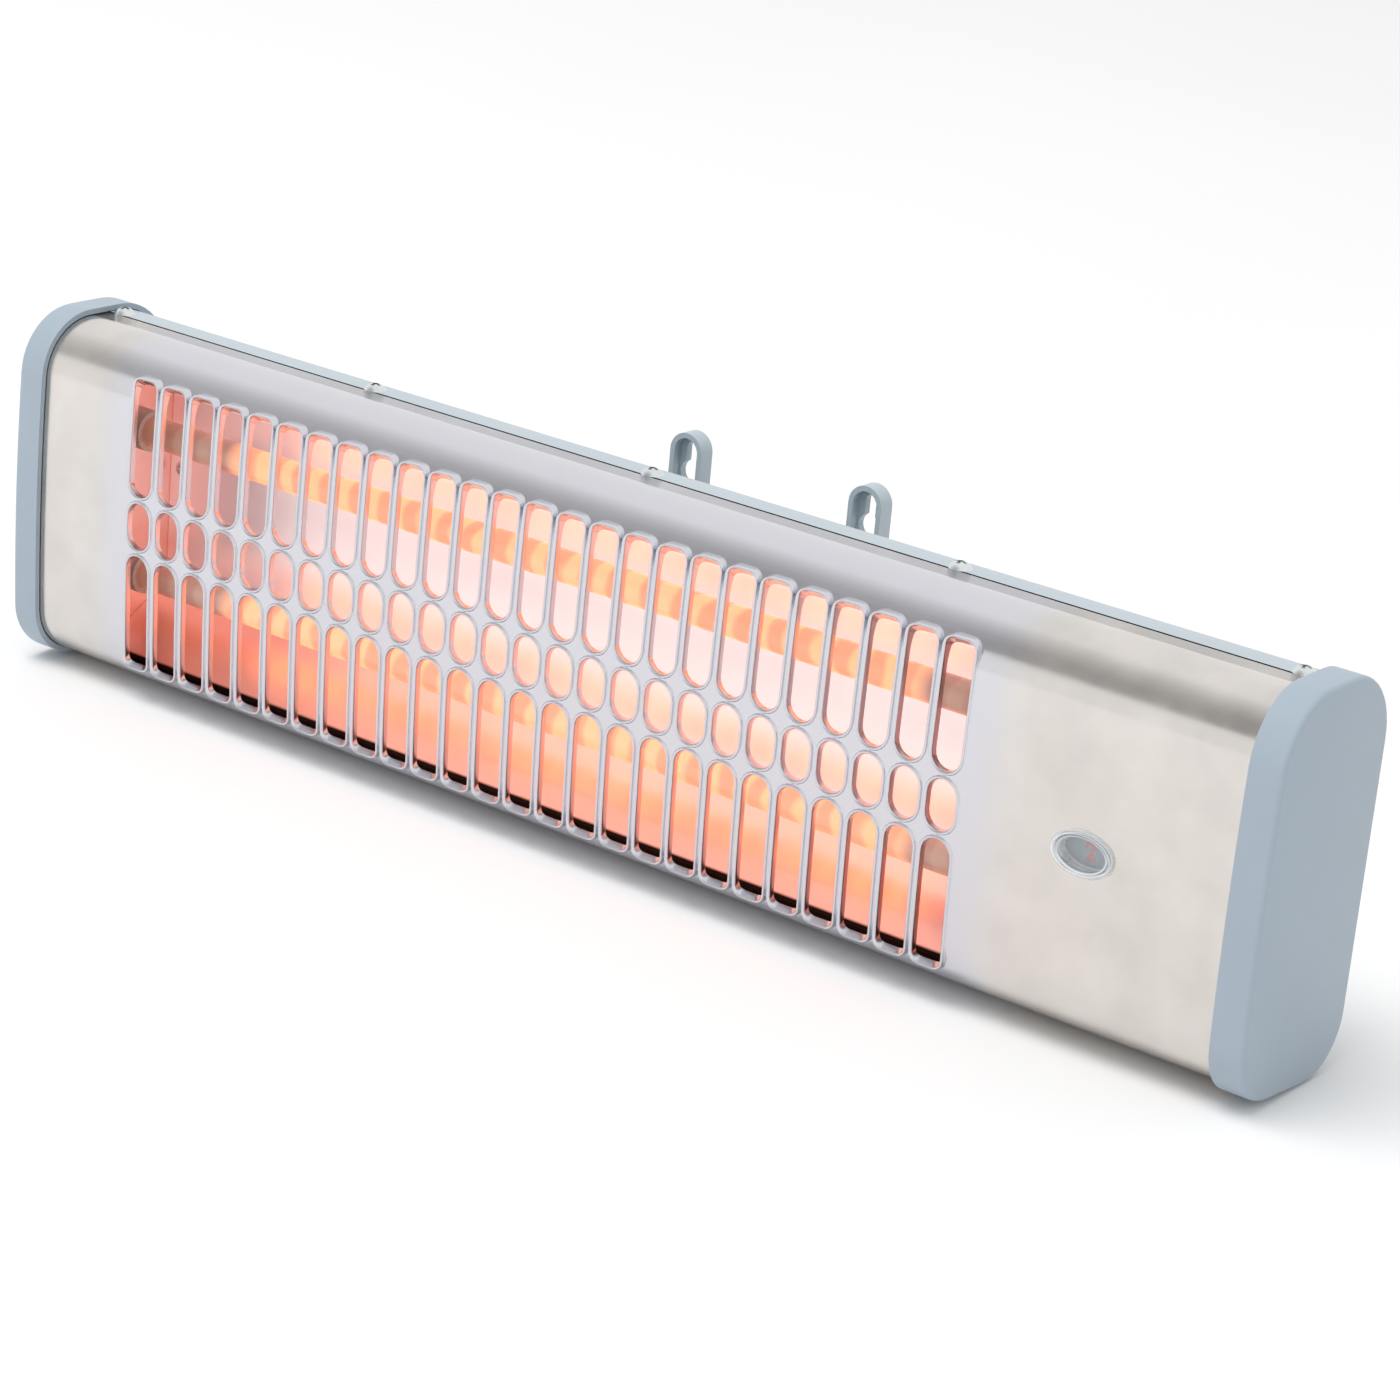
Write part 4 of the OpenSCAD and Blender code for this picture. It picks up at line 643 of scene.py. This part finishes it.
def window_lens(dial):
    """Clear oval window: a rim with rounded edges round a recessed lens, and a wall behind it."""
    a, b, e = dial.half_length, dial.half_height, dial.end_radius
    side_r = ((a - e) ** 2 + b * b - e * e) / (2 * (b - e))
    lean = math.atan2(a - e, side_r - b)
    quarter = math.pi / 2
    bm = bmesh.new()
    # The oval's four arcs: centre, radius, first and last angle, steps
    for cx, cy, r, first, last, steps in (
        (a - e, 0, e, quarter - lean, lean - quarter, 8),
        (0, side_r - b, side_r, lean - quarter, -lean - quarter, 12),
        (e - a, 0, e, -lean - quarter, lean - 3 * quarter, 8),
        (0, b - side_r, side_r, lean + quarter, quarter - lean, 12),
    ):
        out = r + dial.rim
        start = bm.verts.new((cx + out * math.cos(first), cy + out * math.sin(first), 0))
        spin(bm, start, (cx, cy, 0), (0, 0, 1), last - first, steps)
    bmesh.ops.remove_doubles(bm, verts=bm.verts[:], dist=0.02 * MM)
    bmesh.ops.contextual_create(bm, geom=bm.edges[:])
    face = bm.faces[:][0]
    if face.normal.z < 0:
        face.normal_flip()
    copy = bmesh.ops.duplicate(bm, geom=[face])["geom"]
    back = next(g for g in copy if isinstance(g, bmesh.types.BMFace))
    back.normal_flip()
    # Steps inwards and along the normal, in millimetres, of the rim with its recess and of the wall
    rim = ((0, 0.75), (0.25, 0.4), (0.5, 0.25), (1.2, 0), (0.35, -0.2), (0.25, -0.35))
    wall = ((1.5, 0), (0, 4.4), (1.2, 0), (0, -4.4))
    for target, steps in ((face, rim), (back, wall)):
        for inwards, rise in steps:
            target = stepped(bm, target, inwards * MM, rise * MM)
    bmesh.ops.remove_doubles(bm, verts=bm.verts[:], dist=0.005 * MM)
    bmesh.ops.recalc_face_normals(bm, faces=bm.faces[:])
    # Turned from the drawing's plane to face the room, with its back on the panel
    stand = Matrix.Rotation(math.pi / 2, 3, "X")
    proud = 1.4 * MM
    seat = (window_centre.x, window_low.y + proud, window_centre.z)
    bmesh.ops.rotate(bm, verts=bm.verts[:], cent=ORIGIN, matrix=stand)
    bmesh.ops.translate(bm, verts=bm.verts[:], vec=seat)
    finish_piece(bm, "clear_window", "heater", "clear_plastic", ("indicator_window",), 35)


def dial_numbers(dial):
    """Printed numbers 2, 0 and 1, a third of a turn apart on the dial."""
    axis = Vector(((dial_low.x + dial_high.x) / 2, dial_low.y, (dial_low.z + dial_high.z) / 2))
    figure_share = 0.7  # of the font's size
    ink, lift = 0.015 * MM, 0.016 * MM
    bm = bmesh.new()
    for i, number in enumerate("201"):
        curve = bpy.data.curves.new("number", "FONT")
        curve.body = number
        curve.size = dial.number_size / figure_share
        curve.align_x = "CENTER"
        curve.align_y = "CENTER"
        curve.extrude = ink
        curve.offset = dial.number_bold
        text = bpy.data.objects.new("number", curve)
        bpy.context.scene.collection.objects.link(text)
        bpy.context.view_layer.update()
        shown = text.evaluated_get(bpy.context.evaluated_depsgraph_get())
        mesh = bpy.data.meshes.new_from_object(shown)
        mesh.transform(
            Matrix.Translation(axis - Vector((0, lift, 0)))
            @ Matrix.Rotation(math.radians(120 * i) - dial.number_lean, 4, "Y")
            @ Matrix.Translation((0, 0, dial.number_radius))
            @ Matrix.Rotation(math.pi / 2, 4, "X")
        )
        bm.from_mesh(mesh)
        bpy.data.objects.remove(text)
        bpy.data.meshes.remove(mesh)
    bmesh.ops.remove_doubles(bm, verts=bm.verts[:], dist=0.001 * MM)
    finish_piece(bm, "dial_numbers", "dial", "dial_plastic", crease=40, finish="number_ink")


# ---- finishes


def fill(tree, node, sockets):
    """Fills or links a node's sockets. A node given for a socket stands for its first output."""
    for key, value in sockets.items():
        if isinstance(value, bpy.types.Node):
            value = value.outputs[0]
        if isinstance(value, bpy.types.NodeSocket):
            tree.links.new(value, node.inputs[key])
        else:
            node.inputs[key].default_value = value


def add(tree, kind, sockets=(), stops=(), **own):
    """Adds a shader node with its own settings, its sockets filled and its ramp's stops set."""
    made = tree.nodes.new("ShaderNode" + kind)
    for key, value in own.items():
        setattr(made, key, value)
    fill(tree, made, dict(sockets))
    if stops:
        ramp = made.color_ramp.elements
        while len(ramp) < len(stops):
            ramp.new(0.5)
        for element, (place, colour) in zip(ramp, stops):
            element.position = place
            element.color = colour
    return made


def parts_of(finish):
    """Tree of a finish, its Principled shader and the piece's own coordinates."""
    nodes = finish.node_tree.nodes
    return finish.node_tree, nodes["Principled BSDF"], nodes["Texture Coordinate"].outputs["Object"]


def new_finish(name):
    """Finish with no more than its shader and coordinates, and their tree."""
    finish = bpy.data.materials.new(name)
    finish.use_nodes = True
    tree = finish.node_tree
    tree.nodes.clear()
    shader = add(tree, "BsdfPrincipled")
    add(tree, "OutputMaterial", {"Surface": shader})
    add(tree, "TexCoord")
    return finish, *parts_of(finish)


def tint(colour, factor):
    """Colour made lighter or darker by a factor, kept below 1."""
    return (*[min(1.0, c * factor) for c in colour[:3]], 1.0)


def dapple(tree, shader, pattern, colour, low, high):
    """Gives a surface a colour that a pattern makes lighter and darker, by two factors."""
    stops = [(NOISE_LOW, tint(colour, low)), (NOISE_HIGH, tint(colour, high))]
    tone = add(tree, "ValToRGB", {"Fac": pattern}, stops)
    fill(tree, shader, {"Base Color": tone})


def emboss(tree, shader, pattern, strength, depth):
    """Gives a surface the relief of a pattern."""
    sockets = {"Height": pattern, "Strength": strength, "Distance": depth}
    fill(tree, shader, {"Normal": add(tree, "Bump", sockets)})


def maths(tree, operation, *values, kind="Math"):
    """Works out numbers or, as VectorMath, vectors."""
    return add(tree, kind, dict(enumerate(values)), operation=operation)


def spread(tree, value, low, high, to_low=0, to_high=1, **own):
    """Turns a value between two limits into one between two others."""
    ends = {"From Min": low, "From Max": high, "To Min": to_low, "To Max": to_high}
    return add(tree, "MapRange", {"Value": value, **ends}, **own)


def smooth(tree, value, zero, one):
    """Smooth step from 0 at one value to 1 at another."""
    return spread(tree, value, zero, one, interpolation_type="SMOOTHSTEP")


def noise(tree, place, size_mm, detail, **more):
    """Noise with patches of about a size."""
    sockets = {"Vector": place, "Scale": 1000 / size_mm, "Detail": detail, **more}
    return add(tree, "TexNoise", sockets)


def sheet_metal(name, colour, rough, cloud_mm, vary, grain_mm, stretch, bump):
    """Metal: clouds in tone and gloss, and a fine grain that may be stretched along X."""
    finish, tree, shader, place = new_finish(name)
    clouds = noise(tree, place, cloud_mm, 3, Roughness=0.55)
    gloss = spread(tree, clouds, NOISE_LOW, NOISE_HIGH, *rough)
    long = add(tree, "Mapping", {"Vector": place, "Scale": (1 / stretch, 1, 1)})
    grain = noise(tree, long, grain_mm, 2)
    dapple(tree, shader, clouds, colour, 1 - vary, 1 + vary)
    emboss(tree, shader, grain, bump, METAL_RELIEF)
    fill(tree, shader, {"Roughness": gloss, "Metallic": 1})
    return finish


def moulded(name, colour, rough, grain_mm, bump, vary=0.04, ior=1.5, cloud_mm=40):
    """Plastic, rubber, paint or fired clay: nearly even colour, with a fine grain."""
    finish, tree, shader, place = new_finish(name)
    clouds = noise(tree, place, cloud_mm, 4)
    grain = noise(tree, place, grain_mm, 3)
    gloss = spread(tree, grain, 0, 1, rough - 0.05, rough + 0.05)
    dapple(tree, shader, clouds, colour, 1 - vary, 1 + vary)
    emboss(tree, shader, grain, bump, MOULDED_RELIEF)
    fill(tree, shader, {"Roughness": gloss, "IOR": ior})
    return finish


def from_middle(tree, place, middle):
    """Distance along X from a middle, to the left and to the right alike."""
    x = add(tree, "SeparateXYZ", {"Vector": place}).outputs["X"]
    return maths(tree, "ABSOLUTE", maths(tree, "SUBTRACT", x, middle))


def grille_tone(finish, colour):
    """Gives the sheet round the grille a bluer grey colour, which fades out past the grille's ends.
    """
    tree, shader, place = parts_of(finish)
    # Distances from the grille's middle at which the colour is gone and is full
    cool, warm = 216 * MM, 192 * MM
    away = from_middle(tree, place, grille_x)
    recolour(tree, shader, smooth(tree, away, cool, warm), colour)


def recolour(tree, shader, share, colour):
    """Replaces a surface's colour by another one, by a share from 0 to 1."""
    bare = shader.inputs["Base Color"].links[0].from_socket
    sockets = {"Factor": share, MIX_A: bare, MIX_B: colour}
    mix = add(tree, "Mix", sockets, data_type="RGBA")
    fill(tree, shader, {"Base Color": mix.outputs[MIX_RESULT]})


def along_coil(tree, place, fade, past=0):
    """1 over the coils' length, fading to 0 at a distance past their ends."""
    half = (coil_high.x - coil_low.x) / 2 + past
    away = from_middle(tree, place, (coil_low.x + coil_high.x) / 2)
    return smooth(tree, away, half, half - fade)


def painted_tube_light(finish, high_colour, low_colour, level, past):
    """Paints the tubes' light onto a finish as its own soft glow along the coils, in another colour
    below the tubes.
    """
    tree, shader, place = parts_of(finish)
    lit = along_coil(tree, place, LIGHT_FADE, past)
    power = maths(tree, "MULTIPLY", lit, level)
    z = add(tree, "SeparateXYZ", {"Vector": place}).outputs["Z"]
    low = lower_tube_low.z
    height = spread(tree, z, low - 6 * MM, low + 2 * MM)
    stops = [(0, (*low_colour, 1)), (1, (*high_colour, 1))]
    hue = add(tree, "ValToRGB", {"Fac": height}, stops)
    fill(tree, shader, {"Emission Color": hue, "Emission Strength": power})


def painted_hem_shade(finish, colour):
    """Paints shade on the reflector's front hems, which lie in the gap behind the panel, and dims
    their painted glow.
    """
    tree, shader, place = parts_of(finish)
    y = add(tree, "SeparateXYZ", {"Vector": place}).outputs["Y"]
    dark, light = reflector_low.y + 1.4 * MM, reflector_low.y + 2.4 * MM
    hem_shade = spread(tree, y, light, dark)
    recolour(tree, shader, hem_shade, colour)
    unshaded = maths(tree, "SUBTRACT", 1, hem_shade)
    glow = shader.inputs["Emission Strength"].links[0].from_socket
    fill(tree, shader, {"Emission Strength": maths(tree, "MULTIPLY", glow, unshaded)})


def lit_quartz(name, element):
    """Milky quartz over a coil: its light fades past the coil's ends and swells along it."""
    finish, tree, shader, place = new_finish(name)
    # Blender's sine wave at scale 1 repeats after 0.314 of a unit
    waves = {"Vector": place, "Scale": 0.314 / element.swell, "Distortion": 2.2}
    waves.update({"Detail": 1, "Detail Scale": 2.5})
    wave = add(tree, "TexWave", waves, bands_direction="X", wave_profile="SIN")
    swell = wave.outputs["Fac"]
    stops = [(0.2, (*element.warm, 1)), (0.75, (*element.hot, 1))]
    hue = add(tree, "ValToRGB", {"Fac": swell}, stops)
    lit = along_coil(tree, place, element.fade)
    power = spread(tree, lit, 0, 1, element.glow * 0.15, element.glow)
    emboss(tree, shader, noise(tree, place, 5, 2), 0.1, MOULDED_RELIEF)
    dapple(tree, shader, swell, element.cold, 0.92, 1.06)
    fill(tree, shader, {"Emission Color": hue, "Emission Strength": power})
    fill(tree, shader, {"Roughness": 0.22, "IOR": 1.46})
    return finish


def clear_oval(finish, dial):
    """Lets a finish be seen through: most in the lens, and by rings in the rim round it."""
    tree, shader, place = parts_of(finish)
    oval = (1 / dial.half_length, 0, 1 / dial.half_height)
    shift = maths(tree, "SUBTRACT", place, window_centre, kind="VectorMath")
    shares = maths(tree, "MULTIPLY", shift, oval, kind="VectorMath")
    away = maths(tree, "LENGTH", shares, kind="VectorMath")
    lens_end, rim_end = 0.8, 1.2  # in the opening's own half sizes
    span = spread(tree, away.outputs["Value"], lens_end, rim_end)
    # Solidity of each ring; the more solid rings show the whitish finish as painted highlights
    rings = ((0.06, 0.14), (0.22, 0.8), (0.4, 0.12), (0.58, 0.7), (0.74, 0.12), (1, 0.3))
    stops = [(ring, (level, level, level, 1)) for ring, level in rings]
    body = add(tree, "ValToRGB", {"Fac": span}, stops)
    fill(tree, shader, {"Alpha": body})


def stripe(finish, colour, other):
    """Winds stripes of another colour round a sleeve."""
    tree, shader, place = parts_of(finish)
    sockets = {"Vector": place, "Scale": 60}
    wave = add(tree, "TexWave", sockets, bands_direction="DIAGONAL")
    stops = [(0.6, colour), (0.64, other)]
    bands = add(tree, "ValToRGB", {"Fac": wave.outputs["Fac"]}, stops)
    fill(tree, shader, {"Base Color": bands})


def make_finishes(body, element, dial):
    """All finishes, by the record's slot that they belong to, and those of the new pieces."""
    steel, paint, plastic = (*body.steel, 1), (*body.paint, 1), (*body.plastic, 1)
    green = shade("#3E8F3C")
    # Colour, roughness from and to, millimetres and share of the clouds, millimetres of the
    # grain, its stretch along X, and its strength
    metals = {
        # Clouded grey with a soft gloss and a faint grain that has no direction
        "stainless_panel": (
            "Cold rolled stainless steel", steel, (0.16, 0.27), 24, 0.07, 1.2, 1, 0.12
        ),
        # A soft mirror with faint streaks along its length
        "reflector_steel": (
            "Bright rolled reflector strip", shade("#FBEFEC"), (0.3, 0.42), 45, 0.03, 0.6, 40, 0.2
        ),
        # Bluish and duller, mottled by the plating
        "zinc_steel": (
            "Zinc plated steel", shade("#C3C8CD"), (0.3, 0.42), 9, 0.06, 0.8, 1, 0.2
        ),
        # The same plating on the side plates, a pinker copy that paints the tubes' light on them
        "lit_plate": (
            "Zinc plated steel with painted tube light", shade("#D3C2BE"), (0.3, 0.42), 9, 0.06, 0.8, 1, 0.2
        ),
        # Warm grey and bright
        "nickel_steel": (
            "Nickel plated steel", shade("#BDB7AC"), (0.18, 0.3), 6, 0.04, 0.4, 1, 0.1
        ),
        # Soft pale grey, slightly wiped
        "tinned_brass": ("Tinned brass", shade("#C9C7C0"), (0.28, 0.42), 4, 0.07, 0.5, 4, 0.15),
        # Pale and glossy, with tool marks
        "screw_steel": (
            "Bright zinc screw steel", shade("#DDE0E1"), (0.16, 0.28), 3, 0.05, 0.5, 3, 0.12
        ),
        # Dark and drawn
        "spring_steel": (
            "Drawn spring wire", shade("#8B8D90"), (0.25, 0.35), 3, 0.05, 0.3, 6, 0.15
        ),
    }
    # Colour, roughness, millimetres and strength of the grain, share of the clouds, index of
    # refraction, and millimetres of the clouds
    mouldings = {
        # Even blue grey, satin, with a slight orange peel
        "silver_paint": ("Baked powder coat", paint, 0.38, 1.8, 0.25, 0.02),
        # Satin, with the grain of an eroded mould, drawn coarser than it is
        "cap_plastic": ("Moulded ABS", plastic, 0.42, 0.7, 0.3, 0.02),
        # Dull brown, nearly hidden by its own light
        "hot_wire": ("Wound resistance wire", shade("#7A4A38"), 0.5, 0.5, 0.2),
        # Pressed and fired: matt off-white with small darker grains
        "ceramic": ("Fired steatite", shade("#DDD2C6"), 0.62, 0.5, 0.4, 0.06, 1.6, 2.5),
        # Matt cream, with the unevenness of its braid at about the strands' own size
        "lead_sleeve": ("Braided glass fibre", shade("#CFC8B4"), 0.8, 0.7, 0.9, 0.1, 1.45, 2),
        # Satin green, with yellow stripes added below
        "earth_sleeve": ("Extruded silicone sleeve", green, 0.5, 1, 0.15, 0.03, 1.42),
        # Deep black brown, half gloss
        "black_plastic": ("Phenolic moulding", shade("#232224"), 0.45, 0.9, 0.25, 0.08),
        # Cream, satin
        "block_plastic": ("Moulded polyamide", shade("#DAD7CB"), 0.5, 0.8, 0.2, 0.03, 1.53),
        # Even grey blue, satin
        "dial_plastic": ("Printed ABS disc", (*dial.face, 1), 0.45, 0.8, 0.15, 0.02),
        # Matt, nearly black
        "washer_rubber": ("Moulded rubber", shade("#2B2A2A"), 0.8, 0.6, 0.4, 0.08, 1.52),
        # Polished and faintly blue, with slight waves from the mould
        "clear_plastic": (
            "Clear polycarbonate", shade("#EDF2F6"), 0.12, 5, 0.1, 0.02, 1.585, 6
        ),
        # Painted shadow: near black and dull, so that the seam reads as a dark gap
        "seam_shadow_edge": ("Cut edge painted as seam shadow", shade("#0C0A0A"), 0.8, 0.4, 0.3, 0.1),
        # Flat red
        "number_ink": ("Pad printed ink", (*dial.numbers, 1), 0.5, 0.5, 0.1, 0.05),
    }
    made = {slot: sheet_metal(*looks) for slot, looks in metals.items()}
    made.update((slot, moulded(*looks)) for slot, looks in mouldings.items())
    # Milky white where cold, with an orange light that swells and dims where the coil is
    made["quartz_glass"] = lit_quartz("Drawn milky quartz", element)
    grille_tone(made["stainless_panel"], (*body.grille_tone, 1))
    # The tubes' light on the reflector and the side plates is painted as their own glow
    level = element.wash_level
    painted_tube_light(made["reflector_steel"], element.wash, element.glare, level, REFLECTOR_LIT)
    painted_tube_light(made["lit_plate"], element.glare, element.glare, level, PLATE_LIT)
    # Painted shade on the reflector's front hems in the gap behind the panel
    painted_hem_shade(made["reflector_steel"], shade("#1C1614"))
    stripe(made["earth_sleeve"], green, shade("#D9C535"))
    clear_oval(made["clear_plastic"], dial)
    tree, wire, _ = parts_of(made["hot_wire"])
    fill(tree, wire, {"Emission Color": shade("#FF7A3A"), "Emission Strength": 4})
    return made


finishes = {}


def ready_finishes():
    """Makes the finishes at their first use and gives them to all pieces."""
    if not finishes:
        scene = bpy.context.scene
        finishes.update(
            make_finishes(scene.heater_body, scene.heater_elements, scene.heater_dial)
        )
    return finishes


# ---- stage


def stage_piece(bm, name, finish):
    """Piece that stands round the heater and isn't part of it."""
    piece = object_from(bm, name, finish)
    return piece


def pale_floor():
    """Wide matt floor just under the heater."""
    finish, tree, shader, place = new_finish("Pale floor")
    stops = [(0, shade("#F4F4F4")), (1, shade("#F8F8F8"))]
    tone = add(tree, "ValToRGB", {"Fac": noise(tree, place, 500, 2)}, stops)
    fill(tree, shader, {"Base Color": tone, "Roughness": 0.9, "Specular IOR Level": 0})
    half_side, gap = 6, 0.2 * MM
    bm = bmesh.new()
    bmesh.ops.create_grid(bm, x_segments=1, y_segments=1, size=half_side)
    bmesh.ops.translate(bm, verts=bm.verts[:], vec=(0, 0, cad_box[0].z - gap))
    stage_piece(bm, "floor", finish)


def towards(azimuth, elevation):
    """Direction from the heater, by angles from straight ahead and above the horizon."""
    a, e = azimuth, elevation
    return Vector((math.sin(a) * math.cos(e), -math.cos(a) * math.cos(e), math.sin(e)))


def grey_dome():
    """Part of a dome that only gloss sees: grey with a hard lower edge, fading to white."""
    radius = 4
    left, low_edge, rise, sweep = (math.radians(d) for d in (-112, 24, 48, 150))
    bm = bmesh.new()
    start = bm.verts.new(radius * towards(left, low_edge))
    spin(bm, start, ORIGIN, towards(left, 0).cross(Vector((0, 0, 1))), rise, 12)
    arc = bm.verts[:] + bm.edges[:]
    bmesh.ops.spin(bm, geom=arc, cent=ORIGIN, axis=(0, 0, 1), angle=sweep, steps=30)
    finish = bpy.data.materials.new("Grey silk")
    finish.use_nodes = True
    tree = finish.node_tree
    tree.nodes.clear()
    place = add(tree, "TexCoord").outputs["Object"]
    way = maths(tree, "NORMALIZE", place, kind="VectorMath")
    darkest = towards(math.radians(-28), math.radians(32))
    near = maths(tree, "DOT_PRODUCT", way, darkest, kind="VectorMath")
    greys = ((0.62, "#FFFFFF"), (0.8, "#E0E0E0"), (0.92, "#C2C2C2"), (0.98, "#AEAEAE"))
    stops = [(share, shade(grey)) for share, grey in greys]
    fade = add(tree, "ValToRGB", {"Fac": near.outputs["Value"]}, stops)
    light = add(tree, "Emission", {"Color": fade, "Strength": 1})
    add(tree, "OutputMaterial", {"Surface": light})
    dome = stage_piece(bm, "grey_dome", finish)
    for ray in ("camera", "diffuse", "shadow", "transmission"):
        setattr(dome, f"visible_{ray}", False)


def white_world(scene, studio):
    """White where the camera, a gloss or clear plastic looks, and softer where it lights."""
    scene.world = bpy.data.worlds.new("Studio")
    scene.world.use_nodes = True
    tree = scene.world.node_tree
    tree.nodes.clear()
    path = add(tree, "LightPath")
    seen = path.outputs["Is Camera Ray"]
    for ray in ("Is Glossy Ray", "Is Transmission Ray"):
        seen = maths(tree, "MAXIMUM", seen, path.outputs[ray])
    strength = spread(tree, seen, 0, 1, studio.ambient, 1)
    sockets = {"Color": shade("#FFFFFF"), "Strength": strength}
    back = add(tree, "Background", sockets)
    add(tree, "OutputWorld", {"Surface": back})


def key_lamp(scene, studio):
    """Large soft lamp above and to the left of the heater."""
    lamp = bpy.data.lights.new("key", "AREA")
    lamp.shape = "RECTANGLE"
    lamp.size, lamp.size_y = 3.2, 2.4
    lamp.energy = studio.key
    key = bpy.data.objects.new("key", lamp)
    key.location = (-0.8, -1.6, 4.2)
    aim = Vector((0, -0.09, -0.04)) - key.location
    key.rotation_euler = aim.to_track_quat("-Z", "Y").to_euler()
    key.visible_glossy = False
    scene.collection.objects.link(key)


def place_camera(scene, studio):
    """Camera at the photograph's viewing angle."""
    # From the middle of the grille to the middle of the picture
    shift = Vector((54.55, 0, 6.8)) * MM
    target = heater_origin(scene.heater_body) + shift
    back = towards(studio.azimuth, studio.elevation)
    level = Vector((math.cos(studio.azimuth), math.sin(studio.azimuth), 0))
    rise = back.cross(level)
    lean, upright = math.sin(studio.roll), math.cos(studio.roll)
    right = upright * level + lean * rise
    up = upright * rise - lean * level
    lens = bpy.data.cameras.new("camera")
    lens.lens = studio.lens
    lens.sensor_width = 36
    lens.clip_end = 50
    camera = bpy.data.objects.new("camera", lens)
    turn = Matrix((right, up, back)).transposed().to_4x4()
    camera.matrix_world = Matrix.Translation(target + back * studio.distance) @ turn
    scene.collection.objects.link(camera)
    scene.camera = camera


# ---- operators


class HEATER_OT_finishes(bpy.types.Operator):
    """Give every CAD node the finish of its material slot"""

    bl_idname = "heater.finishes"
    bl_label = "Finishes of the CAD nodes"

    def execute(self, context):
        made = ready_finishes()
        for part in frame["record"]["subparts"]:
            mesh = frame["nodes"][part["node"]].data
            mesh.materials.clear()
            lit = part["node"] in ("left_side_plate", "right_side_plate")
            mesh.materials.append(made["lit_plate" if lit else part["material_slot"]])
        return {"FINISHED"}


class HEATER_OT_panel(bpy.types.Operator):
    """Build the stainless front panel with its pressed slots"""

    bl_idname = "heater.panel"
    bl_label = "Front panel"

    def execute(self, context):
        scene = context.scene
        front_panel(scene.heater_body, scene.heater_grille, scene.heater_dial)
        return {"FINISHED"}


class HEATER_OT_housing(bpy.types.Operator):
    """Build the painted housing behind the front panel"""

    bl_idname = "heater.housing"
    bl_label = "Housing"

    def execute(self, context):
        housing_shell(context.scene.heater_body)
        return {"FINISHED"}


class HEATER_OT_caps(bpy.types.Operator):
    """Build the two moulded end caps"""

    bl_idname = "heater.caps"
    bl_label = "End caps"

    def execute(self, context):
        for side in (-1, 1):
            end_cap(context.scene.heater_body, side)
        return {"FINISHED"}


class HEATER_OT_window(bpy.types.Operator):
    """Build the indicator window and the numbers of its dial"""

    bl_idname = "heater.window"
    bl_label = "Window and numbers"

    def execute(self, context):
        window_lens(context.scene.heater_dial)
        dial_numbers(context.scene.heater_dial)
        return {"FINISHED"}


class HEATER_OT_stage(bpy.types.Operator):
    """Set up the floor, the grey dome, the light and the camera"""

    bl_idname = "heater.stage"
    bl_label = "Stage"

    def execute(self, context):
        scene = context.scene
        studio = scene.heater_studio
        pale_floor()
        grey_dome()
        white_world(scene, studio)
        key_lamp(scene, studio)
        scene.view_settings.view_transform = "Standard"
        place_camera(scene, studio)
        return {"FINISHED"}


class HEATER_PT_looks(bpy.types.Panel):
    """Buttons for the heater's pieces and stage, with their sizes and colours"""

    bl_idname = "HEATER_PT_looks"
    bl_label = "Bar heater"
    bl_space_type = "VIEW_3D"
    bl_region_type = "UI"
    bl_category = "Bar heater"

    def draw(self, context):
        for operator in OPERATORS:
            self.layout.operator(operator.bl_idname)
        for group, kind in SETTINGS.items():
            box = self.layout.box()
            box.label(text=kind.__doc__)
            for name in kind.__annotations__:
                box.prop(getattr(context.scene, group), name)


SETTINGS = {
    "heater_body": BodySettings,
    "heater_grille": GrilleSettings,
    "heater_elements": ElementSettings,
    "heater_dial": DialSettings,
    "heater_studio": StudioSettings,
}
OPERATORS = (
    HEATER_OT_finishes,
    HEATER_OT_panel,
    HEATER_OT_housing,
    HEATER_OT_caps,
    HEATER_OT_window,
    HEATER_OT_stage,
)


def register():
    for group, kind in SETTINGS.items():
        bpy.utils.register_class(kind)
        setattr(bpy.types.Scene, group, PointerProperty(type=kind))
    for kind in (*OPERATORS, HEATER_PT_looks):
        bpy.utils.register_class(kind)


def unregister():
    for kind in (HEATER_PT_looks, *reversed(OPERATORS)):
        bpy.utils.unregister_class(kind)
    for group, kind in SETTINGS.items():
        delattr(bpy.types.Scene, group)
        bpy.utils.unregister_class(kind)


def main():
    register()
    bpy.ops.heater.finishes()
    bpy.ops.heater.panel()
    bpy.ops.heater.housing()
    bpy.ops.heater.caps()
    bpy.ops.heater.window()
    bpy.ops.heater.stage()


if __name__ == "__main__":
    main()
